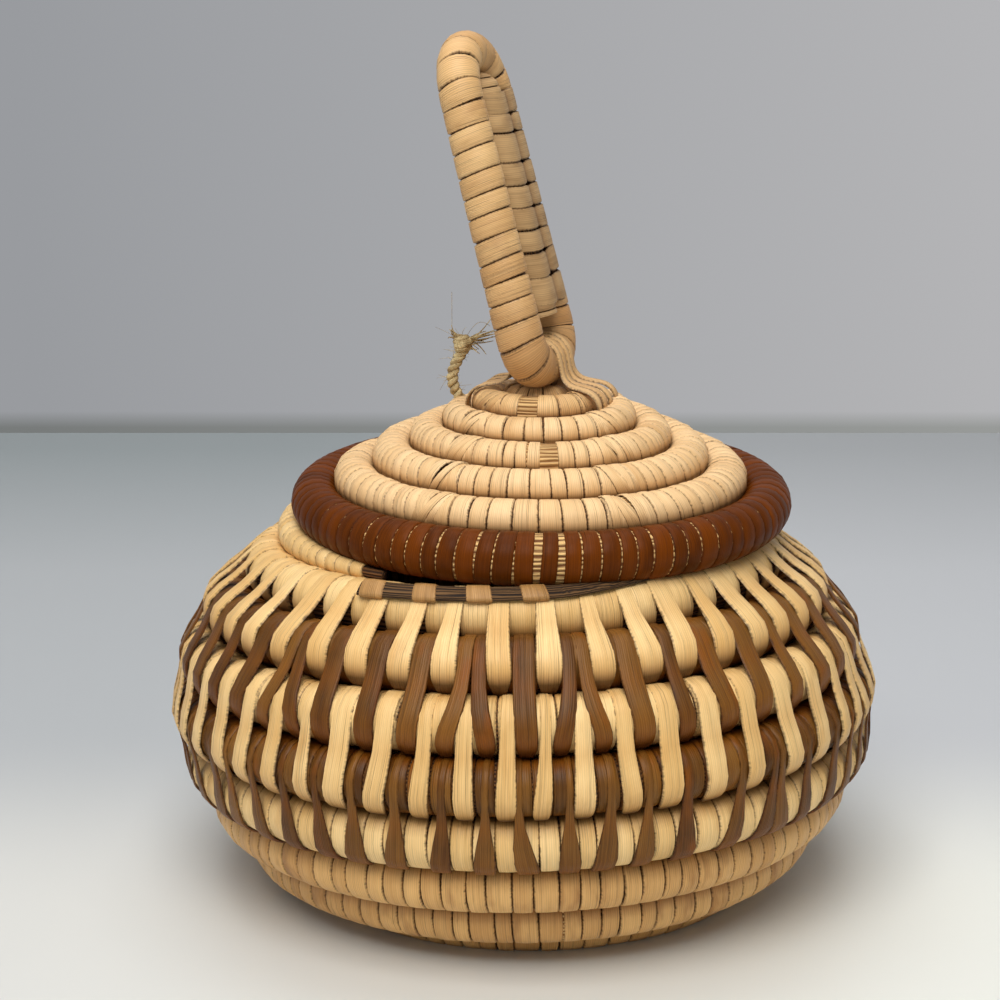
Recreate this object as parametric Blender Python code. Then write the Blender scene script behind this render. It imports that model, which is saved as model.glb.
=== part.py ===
"""Lidded basket of coiled grass rope: a spiral body, a spiral lid and a looped lid handle.

Metres, +Z up. The origin is on the table, under the middle of the base, and -Y is the front.
"""

import math

import bmesh
import bpy
import numpy as np
from mathutils import Matrix, Vector

MM = 0.001

# Body: one rope that winds out from the middle of the base and then up the wall.
BODY_ROPE_RADIUS = 5.75 * MM
TURN_CLEARANCE = 0.58 * MM
BASE_EDGE_RADIUS = 49.7 * MM
CORE_RADIUS = 2.1 * MM
FLAT_SHARE = 0.1
WALL_TURNS = 7
TAIL_TURNS = 0.37
TAIL_LEAD_TURNS = 0.25
# Turn counts, whole at the front, and how the wall leans there: 0 is flat and 90 upright.
LEAN_TURNS = (-4.0, -0.5, 0.5, 1.5, 2.5, 3.5, 4.5, 5.5, 6.5, 7.5)
LEAN_DEGREES = (0.0, 0.0, 33.0, 55.5, 63.5, 81.0, 105.6, 121.0, 144.6, 138.0)

# Lid: a rim rope that rests on the mouth, and a rope that winds up from it to the crown.
RIM_ROPE_RADIUS = 5.1 * MM
RIM_INSET = 4.5 * MM
LID_RIGHT = 3.9 * MM
LID_FORWARD = 2.0 * MM
LID_TILT_DEGREES = 3.1
LID_SLOPE_DEGREES = 29.0
UPPER_RING_RADIUS = 11.3 * MM
CROWN_SLOPE_DEGREES = 5.0
CROWN_ROPE_RADIUS = 3.35 * MM
LID_TURNS = 6
SLOPE_TURNS = 5
LID_START_TURN = 0.56
LID_END_TURN = 6.28
# How abruptly each turn steps inwards at the back, from the rim to the crown.
STEP_POWERS = (3.0, 3.0, 3.0, 2.4, 1.9, 1.5)
RIM_END_TURN = -0.13
FLANGE_ROPE_RADIUS = 3.6 * MM
FLANGE_DROP_DEGREES = 27.0

# Handle: a rope bent to a tall closed loop, with a second rope filling its middle.
FOOT_ROPE_RADIUS = 4.9 * MM
ARCH_ROPE_RADIUS = 4.2 * MM
FOOT_HALF_WIDTH = 10.7 * MM
ARCH_HALF_WIDTH = 9.6 * MM
FOOT_CORNER_RADIUS = 6.6 * MM
HANDLE_RISE = 69.1 * MM
HANDLE_RIGHT = 0.3 * MM
HANDLE_YAW_DEGREES = 19.0
HANDLE_LEAN_DEGREES = 15.0
MIDDLE_START_HEIGHT = 9.7 * MM
DOME_SHARES = (0.97, 0.82, 0.5)
LACING_RADIUS = 0.9 * MM
LACING_SPREAD = 3.0 * MM

# Twine: a short knotted end that stands up behind the crown.
TWINE_RADIUS = 1.35 * MM
TWINE_LEFT = 18.4 * MM
TWINE_BACK = 7.6 * MM
TWINE_HEIGHT = 15.5 * MM
# Aside and up as shares of the twine's height, and thickness as a share of its radius.
TWINE_SHARES = (
    (0.0, 0.0, 1.0), (-0.05, 0.1, 1.0), (-0.13, 0.22, 1.0), (-0.19, 0.36, 1.0), (-0.19, 0.5, 1.0),
    (-0.12, 0.63, 1.0), (0.0, 0.72, 1.45), (0.07, 0.79, 1.75), (0.15, 0.84, 1.45),
    (0.29, 0.9, 1.0), (0.42, 0.96, 0.8), (0.52, 1.0, 0.45),
)

# Fits and fineness.
CLEARANCE = 0.35 * MM
MERGE = 0.01 * MM
CUT_OVERRUN = 4.0 * MM
WALL_STEPS = 40
BASE_STEPS = 24
RIM_STEPS = 36
LID_STEPS = (36, 34, 30, 26, 22, 20, 20)
FINE_SIDES = 3
PLAIN_SIDES = 2
SMALL_SIDES = 1
CURVE_STEPS = 4
LIMB_STEPS = 5
ARCH_STEPS = 8
PROFILE_SAMPLES = 4000
SURFACE_SAMPLES = 1500
REST_SAMPLES = 180
LEAST_STEP_SHARE = 0.45
SHARP_DEGREES = 60.0


def collection(name):
    """Makes a collection and links it to the scene."""
    made = bpy.data.collections.new(name)
    bpy.context.scene.collection.children.link(made)
    return made


def material(name, colour, roughness):
    """Makes a Principled material."""
    made = bpy.data.materials.new(name)
    made.use_nodes = True
    shader = made.node_tree.nodes["Principled BSDF"]
    shader.inputs["Base Color"].default_value = (*colour, 1.0)
    shader.inputs["Roughness"].default_value = roughness
    shader.inputs["Metallic"].default_value = 0.0
    made.diffuse_color = (*colour, 1.0)
    return made


def pale_palm(name):
    return material(name, (0.70, 0.50, 0.30), 0.55)


def brown_palm(name):
    return material(name, (0.16, 0.065, 0.025), 0.45)


def grass(name):
    return material(name, (0.36, 0.24, 0.12), 0.8)


def twine_fibre(name):
    return material(name, (0.55, 0.46, 0.28), 0.9)


def weld(mesh):
    """Joins the loose caps of a tube to its wall."""
    work = bmesh.new()
    work.from_mesh(mesh)
    bmesh.ops.remove_doubles(work, verts=work.verts, dist=MERGE)
    bmesh.ops.recalc_face_normals(work, faces=work.faces)
    work.to_mesh(mesh)
    work.free()


def rope(name, path, sides, look, parts, origin=(0.0, 0.0, 0.0)):
    """Makes one unbroken tube along a path of points and radii, closed at both ends."""
    points, radii = path
    widest = max(radii)
    curve = bpy.data.curves.new(name, "CURVE")
    curve.dimensions = "3D"
    curve.bevel_depth = widest
    curve.bevel_resolution = sides
    curve.use_fill_caps = True
    spline = curve.splines.new("POLY")
    spline.points.add(len(points) - 1)
    for place, point, radius in zip(spline.points, points, radii):
        place.co = (*(Vector(point) - Vector(origin)), 1.0)
        place.radius = radius / widest
    guide = bpy.data.objects.new(name + "_path", curve)
    guide.location = origin
    parts.objects.link(guide)
    bpy.context.view_layer.update()
    evaluated = guide.evaluated_get(bpy.context.evaluated_depsgraph_get())
    mesh = bpy.data.meshes.new_from_object(evaluated)
    weld(mesh)
    mesh.materials.clear()
    mesh.materials.append(look)
    mesh.shade_smooth()
    mesh.set_sharp_from_angle(angle=math.radians(SHARP_DEGREES))
    made = bpy.data.objects.new(name, mesh)
    made.matrix_world = guide.matrix_world.copy()
    bpy.data.objects.remove(guide)
    parts.objects.link(made)
    return made


def floor_cutter(cutters):
    """A slab under the table's level, wider than the base."""
    reach = BASE_EDGE_RADIUS + BODY_ROPE_RADIUS + CUT_OVERRUN
    depth = BODY_ROPE_RADIUS + CUT_OVERRUN
    mesh = bpy.data.meshes.new("floor_cutter")
    work = bmesh.new()
    shape = Matrix.Diagonal((2 * reach, 2 * reach, depth, 1.0))
    bmesh.ops.create_cube(work, size=1.0, matrix=shape)
    work.to_mesh(mesh)
    work.free()
    made = bpy.data.objects.new("floor_cutter", mesh)
    made.location = (0, 0, -depth / 2)
    made.hide_render = True
    made.display_type = "WIRE"
    cutters.objects.link(made)
    return made


def cut_flat(piece, cutter):
    """Cuts off what lies under the table's level."""
    cut = piece.modifiers.new("flat", "BOOLEAN")
    cut.operation = "DIFFERENCE"
    cut.solver = "EXACT"
    cut.object = cutter


def around(turn):
    """The angle about the axis: whole turns are at the front, and every rope winds to the right."""
    return 2 * math.pi * turn - math.pi / 2


def circle_point(radius, angle, height):
    return Vector((radius * math.cos(angle), radius * math.sin(angle), height))


def row_turns(start, rows, end):
    """The turn counts at which a rope is sampled: evenly over each row, none on a row's ends."""
    turns = []
    for low, steps in rows:
        turns += [low + (index + 0.5) / steps for index in range(steps)]
    return [turn for turn in turns if start - 1 / BASE_STEPS < turn < end + 1 / BASE_STEPS]


def stretch(line, start, end):
    """The points and radii of a sampled rope between two turn counts, a little short at both ends."""
    turns = [turn for turn, point, radius in line]
    within = [entry for entry in line if start < entry[0] < end]
    # A sample close to an end would fold the tube there.
    while within[0][0] - start < LEAST_STEP_SHARE * (within[1][0] - within[0][0]):
        within.pop(0)
    while end - within[-1][0] < LEAST_STEP_SHARE * (within[-1][0] - within[-2][0]):
        within.pop()
    table = np.array([[*point, radius] for turn, point, radius in line])
    first, last = ([float(np.interp(turn, turns, column)) for column in table.T] for turn in (start, end))
    points = [Vector(first[:3])] + [point for turn, point, radius in within] + [Vector(last[:3])]
    radii = [first[3]] + [radius for turn, point, radius in within] + [last[3]]
    points[0] += (points[1] - points[0]).normalized() * CLEARANCE / 2
    points[-1] += (points[-2] - points[-1]).normalized() * CLEARANCE / 2
    return points, radii


def least_gap(path, per_turn):
    """The least distance between neighbouring turns of one rope, surface to surface."""
    points, radii = path
    least = math.inf
    for index, point in enumerate(points):
        for other in range(index + per_turn - per_turn // 3, len(points)):
            near = (points[other] - point).length - radii[index] - radii[other]
            least = min(least, near)
    return least


# The body's spiral.

def profile():
    """The spiral's radius and height for each turn count, on a fine grid."""
    turns = np.linspace(LEAN_TURNS[0] - 1, LEAN_TURNS[-1] + 1, PROFILE_SAMPLES)
    lean = np.radians(np.interp(turns, LEAN_TURNS, LEAN_DEGREES))
    step = (2 * BODY_ROPE_RADIUS + TURN_CLEARANCE) * np.gradient(turns)
    out = np.cumsum(np.cos(lean) * step)
    up = np.cumsum(np.sin(lean) * step)
    out += BASE_EDGE_RADIUS - np.interp(0.0, turns, out)
    up += BODY_ROPE_RADIUS * (1 - 2 * FLAT_SHARE) - up[0]
    return turns, out, up


def body_point(turn, shape):
    turns, out, up = shape
    return circle_point(float(np.interp(turn, turns, out)), around(turn), float(np.interp(turn, turns, up)))


def wedge_point(turn, shape):
    """Where the last turn lies: wedged between the turn below it and the lid's rim."""
    below = body_point(turn - 1, shape)
    away = lid_frame() @ circle_point(rim_radius(), around(turn), 0) - below
    free = away.length - BODY_ROPE_RADIUS - RIM_ROPE_RADIUS - 2 * TURN_CLEARANCE
    radius = min(BODY_ROPE_RADIUS, free / 2)
    return below + away.normalized() * (BODY_ROPE_RADIUS + TURN_CLEARANCE + radius), radius


def rim_radius():
    """The ring of the lid's rim, a little smaller than the mouth that it rests on."""
    turns, out, up = profile()
    return float(np.interp(WALL_TURNS, turns, out)) - RIM_INSET


def smooth(share):
    share = min(1.0, max(0.0, share))
    return share * share * (3 - 2 * share)


def body_start(shape):
    """The turn count at which the rope's inner end clears the core."""
    turns, out, up = shape
    third = len(out) // 3
    return float(np.interp(CORE_RADIUS + BODY_ROPE_RADIUS + CLEARANCE, out[:third], turns[:third]))


def body_line(shape):
    """The whole rope of the body, sampled: turn count, point and radius."""
    start = body_start(shape)
    end = WALL_TURNS + 0.5 + TAIL_TURNS
    base = [(low - 0.5, BASE_STEPS) for low in range(math.floor(start + 0.5), 0)]
    wall = [(low - 0.5, WALL_STEPS) for low in range(WALL_TURNS + 2)]
    line = []
    for turn in row_turns(start, base + wall, end):
        point = body_point(turn, shape)
        radius = BODY_ROPE_RADIUS
        lead = smooth((turn - WALL_TURNS - 0.5) / TAIL_LEAD_TURNS + 1)
        if lead > 0:
            wedge, thin = wedge_point(turn, shape)
            point = point.lerp(wedge, lead)
            radius += (thin - radius) * lead
        line.append((turn, point, radius))
    return line


def base_core(parts):
    """The knot that the base starts from: a short upright plug with a flat foot."""
    top = BODY_ROPE_RADIUS * (1 - 2 * FLAT_SHARE) + BODY_ROPE_RADIUS
    points = [Vector((0, 0, top * share)) for share in (0.0, 0.5, 1.0)]
    path = points, [CORE_RADIUS] * len(points)
    return rope("base_core", path, FINE_SIDES, grass("core_grass"), parts)


def base_spiral(parts, cutter, line, start):
    """The flat spiral of the base, from the core to where the wall starts."""
    path = stretch(line, start, -0.5)
    print("base_spiral least gap to itself, mm:", round(least_gap(path, BASE_STEPS) / MM, 3))
    made = rope("base_spiral", path, PLAIN_SIDES, pale_palm("base_palm"), parts)
    cut_flat(made, cutter)
    return made


def wall_rows(parts, cutter, line):
    """One piece of rope for each turn, parted where its wrapping changes, at the back."""
    looks = (
        ("base_edge_coil", pale_palm),
        ("foot_coil", pale_palm),
        ("lower_coil", pale_palm),
        ("lower_pale_coil", pale_palm),
        ("belly_brown_coil", brown_palm),
        ("belly_pale_coil", pale_palm),
        ("shoulder_brown_coil", brown_palm),
        ("mouth_coil", pale_palm),
    )
    made = []
    for turn, (name, look) in enumerate(looks):
        path = stretch(line, turn - 0.5, turn + 0.5)
        made.append(rope(name, path, FINE_SIDES, look(name + "_palm"), parts))
    cut_flat(made[0], cutter)
    return made


def mouth_tail(parts, line):
    """The last part turn, which thins out under the lid's rim."""
    start = WALL_TURNS + 0.5
    path = stretch(line, start, start + TAIL_TURNS)
    return rope("mouth_tail", path, FINE_SIDES, pale_palm("tail_palm"), parts)


# The lid, drawn level and then set down a little askew.

def rest_height():
    """The height at which the tilted rim comes to rest on the mouth coil."""
    shape = profile()
    tilt = Matrix.Rotation(math.radians(LID_TILT_DEGREES), 4, "X")
    shift = Vector((LID_RIGHT, -LID_FORWARD, 0))
    touch = BODY_ROPE_RADIUS + RIM_ROPE_RADIUS + CLEARANCE
    height = 0.0
    for index in range(REST_SAMPLES):
        turn = WALL_TURNS - 0.5 + index / REST_SAMPLES
        below = body_point(turn, shape)
        rim = shift + tilt @ circle_point(rim_radius(), around(turn), 0)
        aside = (rim - below).xy.length
        if aside < touch:
            height = max(height, below.z + math.sqrt(touch**2 - aside**2) - rim.z)
    return height


def lid_frame():
    place = Matrix.Translation((LID_RIGHT, -LID_FORWARD, rest_height()))
    return place @ Matrix.Rotation(math.radians(LID_TILT_DEGREES), 4, "X")


def lid_rope_radius(step):
    """The lid's rope thins evenly up the slope, which its rows fill, and not on the crown."""
    slope = (rim_radius() - UPPER_RING_RADIUS) / math.cos(math.radians(LID_SLOPE_DEGREES))
    rows = slope - RIM_ROPE_RADIUS - SLOPE_TURNS * (TURN_CLEARANCE + CROWN_ROPE_RADIUS)
    start = rows / (SLOPE_TURNS - 1)
    return start + (CROWN_ROPE_RADIUS - start) * min(step, SLOPE_TURNS) / SLOPE_TURNS


def lid_reach(step):
    """How far up the slope a row lies from the rim, and how far on over the flatter crown."""
    start = lid_rope_radius(0)
    first = min(step, 1) * (RIM_ROPE_RADIUS - start)
    sloped = min(step, SLOPE_TURNS)
    reach = first + sloped * (start + lid_rope_radius(step) + TURN_CLEARANCE)
    return reach, (step - sloped) * (2 * CROWN_ROPE_RADIUS + TURN_CLEARANCE)


def lid_step(turn):
    """The row count at a turn count: rows lie level in front and step inwards at the back."""
    turn = max(0.0, min(float(LID_TURNS), turn))
    row = min(int(turn), LID_TURNS - 1)
    lead = (turn - row)**STEP_POWERS[row]
    rest = (row + 1 - turn)**STEP_POWERS[row]
    return row + lead / (lead + rest)


def lid_point(turn, angle):
    """A point of the lid's spiral, level, from turn 0 at the rim to the last turn at the crown."""
    reach, over = lid_reach(lid_step(turn))
    slope, ease = math.radians(LID_SLOPE_DEGREES), math.radians(CROWN_SLOPE_DEGREES)
    radius = rim_radius() - reach * math.cos(slope) - over * math.cos(ease)
    return circle_point(radius, angle, reach * math.sin(slope) + over * math.sin(ease))


def lid_room(turn):
    """The thickest that the lid's rope may be at a turn count, between its two neighbours."""
    angle = around(turn)
    here = lid_point(turn, angle)
    room = [lid_rope_radius(lid_step(turn))]
    if turn < LID_START_TURN + 1:
        room.append((here - lid_point(0.0, angle)).length - RIM_ROPE_RADIUS - TURN_CLEARANCE)
    else:
        room.append(((here - lid_point(turn - 1, angle)).length - TURN_CLEARANCE) / 2)
    if turn + 1 < LID_END_TURN:
        room.append(((here - lid_point(turn + 1, angle)).length - TURN_CLEARANCE) / 2)
    return min(room)


def lid_line():
    """The whole rope of the lid, sampled level: turn count, point and radius."""
    rows = [(row - 0.5, steps) for row, steps in enumerate(LID_STEPS)]
    turns = row_turns(LID_START_TURN, rows, LID_END_TURN)
    return [(turn, lid_point(turn, around(turn)), lid_room(turn)) for turn in turns]


def set_down(path):
    """Moves a path from the level lid to where the lid rests."""
    points, radii = path
    frame = lid_frame()
    return [frame @ point for point in points], radii


def ring_path(radius, height, rope_radius, start):
    """One level turn that ends just short of its own start."""
    rows = [(start + shift, RIM_STEPS) for shift in (-1, 0, 1)]
    turns = row_turns(start, rows, start + 1)
    line = [(turn, circle_point(radius, around(turn), height), rope_radius) for turn in turns]
    return stretch(line, start, start + 1)


def lid_rim(parts, origin):
    path = ring_path(rim_radius(), 0, RIM_ROPE_RADIUS, RIM_END_TURN)
    look = brown_palm("rim_palm")
    return rope("lid_rim_coil", set_down(path), FINE_SIDES, look, parts, origin)


def lid_flange(parts, origin):
    """The locating turn under the lid, which drops into the mouth."""
    reach = RIM_ROPE_RADIUS + FLANGE_ROPE_RADIUS + CLEARANCE
    drop = math.radians(FLANGE_DROP_DEGREES)
    radius = rim_radius() - reach * math.cos(drop)
    path = ring_path(radius, -reach * math.sin(drop), FLANGE_ROPE_RADIUS, 0.5)
    look = grass("flange_grass")
    return rope("lid_flange_coil", set_down(path), PLAIN_SIDES, look, parts, origin)


def lid_rows(parts, origin, line):
    """The lid's turns, from the one beside the rim to the crown."""
    names = ("lid_first_coil", "lid_second_coil", "lid_third_coil", "lid_fourth_coil",
             "lid_fifth_coil", "crown_coil")
    made = []
    for row, name in enumerate(names, start=1):
        start = max(row - 0.5, LID_START_TURN)
        path = stretch(line, start, min(row + 0.5, LID_END_TURN))
        look = pale_palm(name + "_palm")
        made.append(rope(name, set_down(path), FINE_SIDES, look, parts, origin))
    return made


def lid_top(place, reach, line):
    """The height of the level lid's surface under a disc about a place."""
    turns = [turn for turn, point, radius in line]
    table = np.array([[*point, radius] for turn, point, radius in line])
    fine = np.linspace(turns[0], turns[-1], SURFACE_SAMPLES)
    x, y, z, thick = (np.interp(fine, turns, column) for column in table.T)
    aside = np.maximum(np.hypot(x - place.x, y - place.y) - reach, 0.0)
    over = thick**2 - aside**2
    return float(np.max((z + np.sqrt(np.maximum(over, 0.0)))[over > 0]))


# The handle, in its own frame: X runs along the loop's foot and Z up the loop.

def foot_frame():
    """The foot's axis, level on the crown, turned to the loop's own heading."""
    crown = lid_point(LID_TURNS, 0.0).z + CROWN_ROPE_RADIUS
    place = Matrix.Translation((HANDLE_RIGHT, 0, crown + CLEARANCE + FOOT_ROPE_RADIUS))
    heading = math.pi / 2 - math.radians(HANDLE_YAW_DEGREES)
    return lid_frame() @ place @ Matrix.Rotation(heading, 4, "Z")


def handle_frame():
    return foot_frame() @ Matrix.Rotation(-math.radians(HANDLE_LEAN_DEGREES), 4, "X")


def along_loop(height, foot_value, arch_value):
    """A size of the loop at a height, between its values at the foot and at the arch."""
    share = min(1.0, max(0.0, height / HANDLE_RISE))
    return foot_value + (arch_value - foot_value) * share


def loop_side():
    """One side of the loop: out along the foot, round the corner, up the limb and over the arch."""
    corner = FOOT_CORNER_RADIUS
    spring = HANDLE_RISE - ARCH_HALF_WIDTH
    side = [(CLEARANCE / 2, 0.0)]
    for index in range(CURVE_STEPS + 1):
        angle = math.pi / 2 * index / CURVE_STEPS
        side.append((FOOT_HALF_WIDTH - corner + corner * math.sin(angle), corner - corner * math.cos(angle)))
    for index in range(1, LIMB_STEPS + 1):
        share = index / LIMB_STEPS
        out = FOOT_HALF_WIDTH + (ARCH_HALF_WIDTH - FOOT_HALF_WIDTH) * share
        side.append((out, corner + (spring - corner) * share))
    for index in range(1, CURVE_STEPS + 1):
        angle = math.pi / 2 * index / CURVE_STEPS
        side.append((ARCH_HALF_WIDTH * math.cos(angle), spring + ARCH_HALF_WIDTH * math.sin(angle)))
    return side


def handle_outer(parts, origin):
    side = loop_side()
    flat = side + [(-out, height) for out, height in reversed(side[:-1])]
    frame = handle_frame()
    points = [frame @ Vector((out, 0, height)) for out, height in flat]
    radii = [along_loop(height, FOOT_ROPE_RADIUS, ARCH_ROPE_RADIUS) for out, height in flat]
    look = pale_palm("handle_palm")
    return rope("handle_outer_coil", (points, radii), FINE_SIDES, look, parts, origin)


def handle_middle(parts, origin):
    """The rope that fills the loop, with a blunt round top."""
    spring = HANDLE_RISE - ARCH_HALF_WIDTH
    top = HANDLE_RISE - ARCH_ROPE_RADIUS - CLEARANCE
    rise = spring - MIDDLE_START_HEIGHT
    heights = [MIDDLE_START_HEIGHT + rise * index / LIMB_STEPS for index in range(LIMB_STEPS + 1)]
    radii = []
    for height in heights:
        half = along_loop(height, FOOT_HALF_WIDTH, ARCH_HALF_WIDTH)
        radii.append(half - along_loop(height, FOOT_ROPE_RADIUS, ARCH_ROPE_RADIUS) - CLEARANCE)
    widest = radii[-1]
    for share in DOME_SHARES:
        heights.append(spring + (top - spring) * math.sqrt(1 - share * share))
        radii.append(widest * share)
    frame = handle_frame()
    points = [frame @ Vector((0, 0, height)) for height in heights]
    look = pale_palm("middle_palm")
    return rope("handle_middle_coil", (points, radii), FINE_SIDES, look, parts, origin)


def lacing(parts, origin, line):
    """Two palm strands that arch over the loop's foot and tie it to the crown."""
    bend = FOOT_ROPE_RADIUS + CLEARANCE + LACING_RADIUS
    frame = lid_frame().inverted() @ foot_frame()
    made = []
    for name, along in (("lacing_front", -LACING_SPREAD), ("lacing_back", LACING_SPREAD)):
        points = []
        for index in range(ARCH_STEPS + 1):
            angle = math.pi * index / ARCH_STEPS
            points.append(frame @ Vector((along, -bend * math.cos(angle), bend * math.sin(angle))))
        feet = [points[0].copy(), points[-1].copy()]
        for foot in feet:
            foot.z = lid_top(foot, LACING_RADIUS, line) + CLEARANCE
        points = [feet[0]] + points + [feet[1]]
        path = points, [LACING_RADIUS] * len(points)
        look = pale_palm(name + "_palm")
        made.append(rope(name, set_down(path), SMALL_SIDES, look, parts, origin))
    return made


def twine(parts, origin, line):
    """The short end of twine, swaying up to a knot and a loose tip."""
    seat = Vector((-TWINE_LEFT, TWINE_BACK, 0))
    seat.z = lid_top(seat, TWINE_RADIUS, line) + CLEARANCE
    points = [seat + Vector((aside, 0, up)) * TWINE_HEIGHT for aside, up, thick in TWINE_SHARES]
    radii = [TWINE_RADIUS * thick for aside, up, thick in TWINE_SHARES]
    look = twine_fibre("twine_fibre")
    return rope("twine_end", set_down((points, radii)), SMALL_SIDES, look, parts, origin)


def build_body(parts, cutters):
    shape = profile()
    line = body_line(shape)
    cutter = floor_cutter(cutters)
    base_core(parts)
    base_spiral(parts, cutter, line, body_start(shape))
    wall_rows(parts, cutter, line)
    mouth_tail(parts, line)


def build_lid(parts):
    origin = lid_frame().translation
    line = lid_line()
    lid_flange(parts, origin)
    lid_rim(parts, origin)
    lid_rows(parts, origin, line)
    lacing(parts, origin, line)
    twine(parts, origin, line)
    print("lid origin, m:", [round(value, 6) for value in origin])


def build_handle(parts):
    frame = foot_frame()
    handle_outer(parts, frame.translation)
    handle_middle(parts, frame.translation)
    axis = frame.to_3x3() @ Vector((1, 0, 0))
    print("handle hinge, m:", [round(value, 6) for value in frame.translation])
    print("handle axis:", [round(value, 6) for value in axis])


def main():
    for old in list(bpy.data.objects):
        bpy.data.objects.remove(old, do_unlink=True)
    parts = collection("coiled_basket")
    cutters = collection("cutters")
    build_body(parts, cutters)
    build_lid(parts)
    build_handle(parts)


main()
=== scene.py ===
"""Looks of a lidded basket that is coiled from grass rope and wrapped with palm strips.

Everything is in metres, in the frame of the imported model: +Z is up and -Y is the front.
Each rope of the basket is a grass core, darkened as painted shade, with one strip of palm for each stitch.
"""

import logging
import math
from dataclasses import dataclass, field
from enum import Enum
from typing import Any, Optional, Sequence, Union

import bpy
import numpy as np
from mathutils import Matrix, Vector


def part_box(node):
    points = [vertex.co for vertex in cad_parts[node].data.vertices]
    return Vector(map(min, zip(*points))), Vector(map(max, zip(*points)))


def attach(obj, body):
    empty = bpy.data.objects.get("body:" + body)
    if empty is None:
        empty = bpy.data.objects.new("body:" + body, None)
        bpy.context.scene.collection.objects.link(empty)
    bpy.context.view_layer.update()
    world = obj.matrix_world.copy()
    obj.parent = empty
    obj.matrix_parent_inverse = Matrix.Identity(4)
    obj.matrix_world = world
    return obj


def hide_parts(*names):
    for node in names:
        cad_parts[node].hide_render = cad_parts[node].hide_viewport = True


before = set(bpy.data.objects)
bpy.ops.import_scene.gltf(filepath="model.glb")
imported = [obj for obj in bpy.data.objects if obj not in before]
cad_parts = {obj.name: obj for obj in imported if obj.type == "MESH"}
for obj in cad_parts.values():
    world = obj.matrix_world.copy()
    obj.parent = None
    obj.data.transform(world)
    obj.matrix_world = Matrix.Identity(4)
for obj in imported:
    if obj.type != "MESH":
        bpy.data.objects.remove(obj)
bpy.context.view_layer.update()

log = logging.getLogger("coiled_basket")

Array = np.ndarray
Colour = tuple[float, float, float]
MM = 0.001
TAU = 2 * math.pi


def tone(red: float, green: float, blue: float) -> Colour:
    """Turns a colour as seen on a screen, 0 to 255, into the linear colour that a shader takes.

    Args:
        red: Red as seen.
        green: Green as seen.
        blue: Blue as seen.

    Returns:
        The linear colour.
    """
    seen = np.array((red, green, blue)) / 255
    linear = np.where(seen <= 0.04045, seen / 12.92, ((seen + 0.055) / 1.055)**2.4)
    return tuple(float(value) for value in linear)


# The colour of the painted shade in the narrow seams between strips and deep in the grooves between rows.
SEAM_SHADE = tone(50, 20, 5)

# Shading.

Value = Union["Wire", float]


@dataclass
class Wire:
    """One socket of a shader graph, on which sums are written as in Python."""

    graph: "Graph"
    socket: bpy.types.NodeSocket

    def _math(self, operation: str, first: Value, second: Value) -> "Wire":
        """The result of a Math node."""
        return self.graph.math(operation, first, second)

    def __add__(self, other: Value) -> "Wire":
        """The sum of two values."""
        return self._math("ADD", self, other)

    __radd__ = __add__

    def __sub__(self, other: Value) -> "Wire":
        """This value less another."""
        return self._math("SUBTRACT", self, other)

    def __rsub__(self, other: Value) -> "Wire":
        """Another value less this one."""
        return self._math("SUBTRACT", other, self)

    def __mul__(self, other: Value) -> "Wire":
        """The product of two values."""
        return self._math("MULTIPLY", self, other)

    __rmul__ = __mul__

    def __truediv__(self, other: Value) -> "Wire":
        """This value divided by another."""
        return self._math("DIVIDE", self, other)

    def __pow__(self, other: Value) -> "Wire":
        """This value to a power."""
        return self._math("POWER", self, other)

    def sine(self) -> "Wire":
        """The sine of this value."""
        return self.graph.math("SINE", self)

    def clamped(self) -> "Wire":
        """This value kept between 0 and 1."""
        return self.graph.math("MINIMUM", self.graph.math("MAXIMUM", self, 0.0), 1.0)


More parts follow.
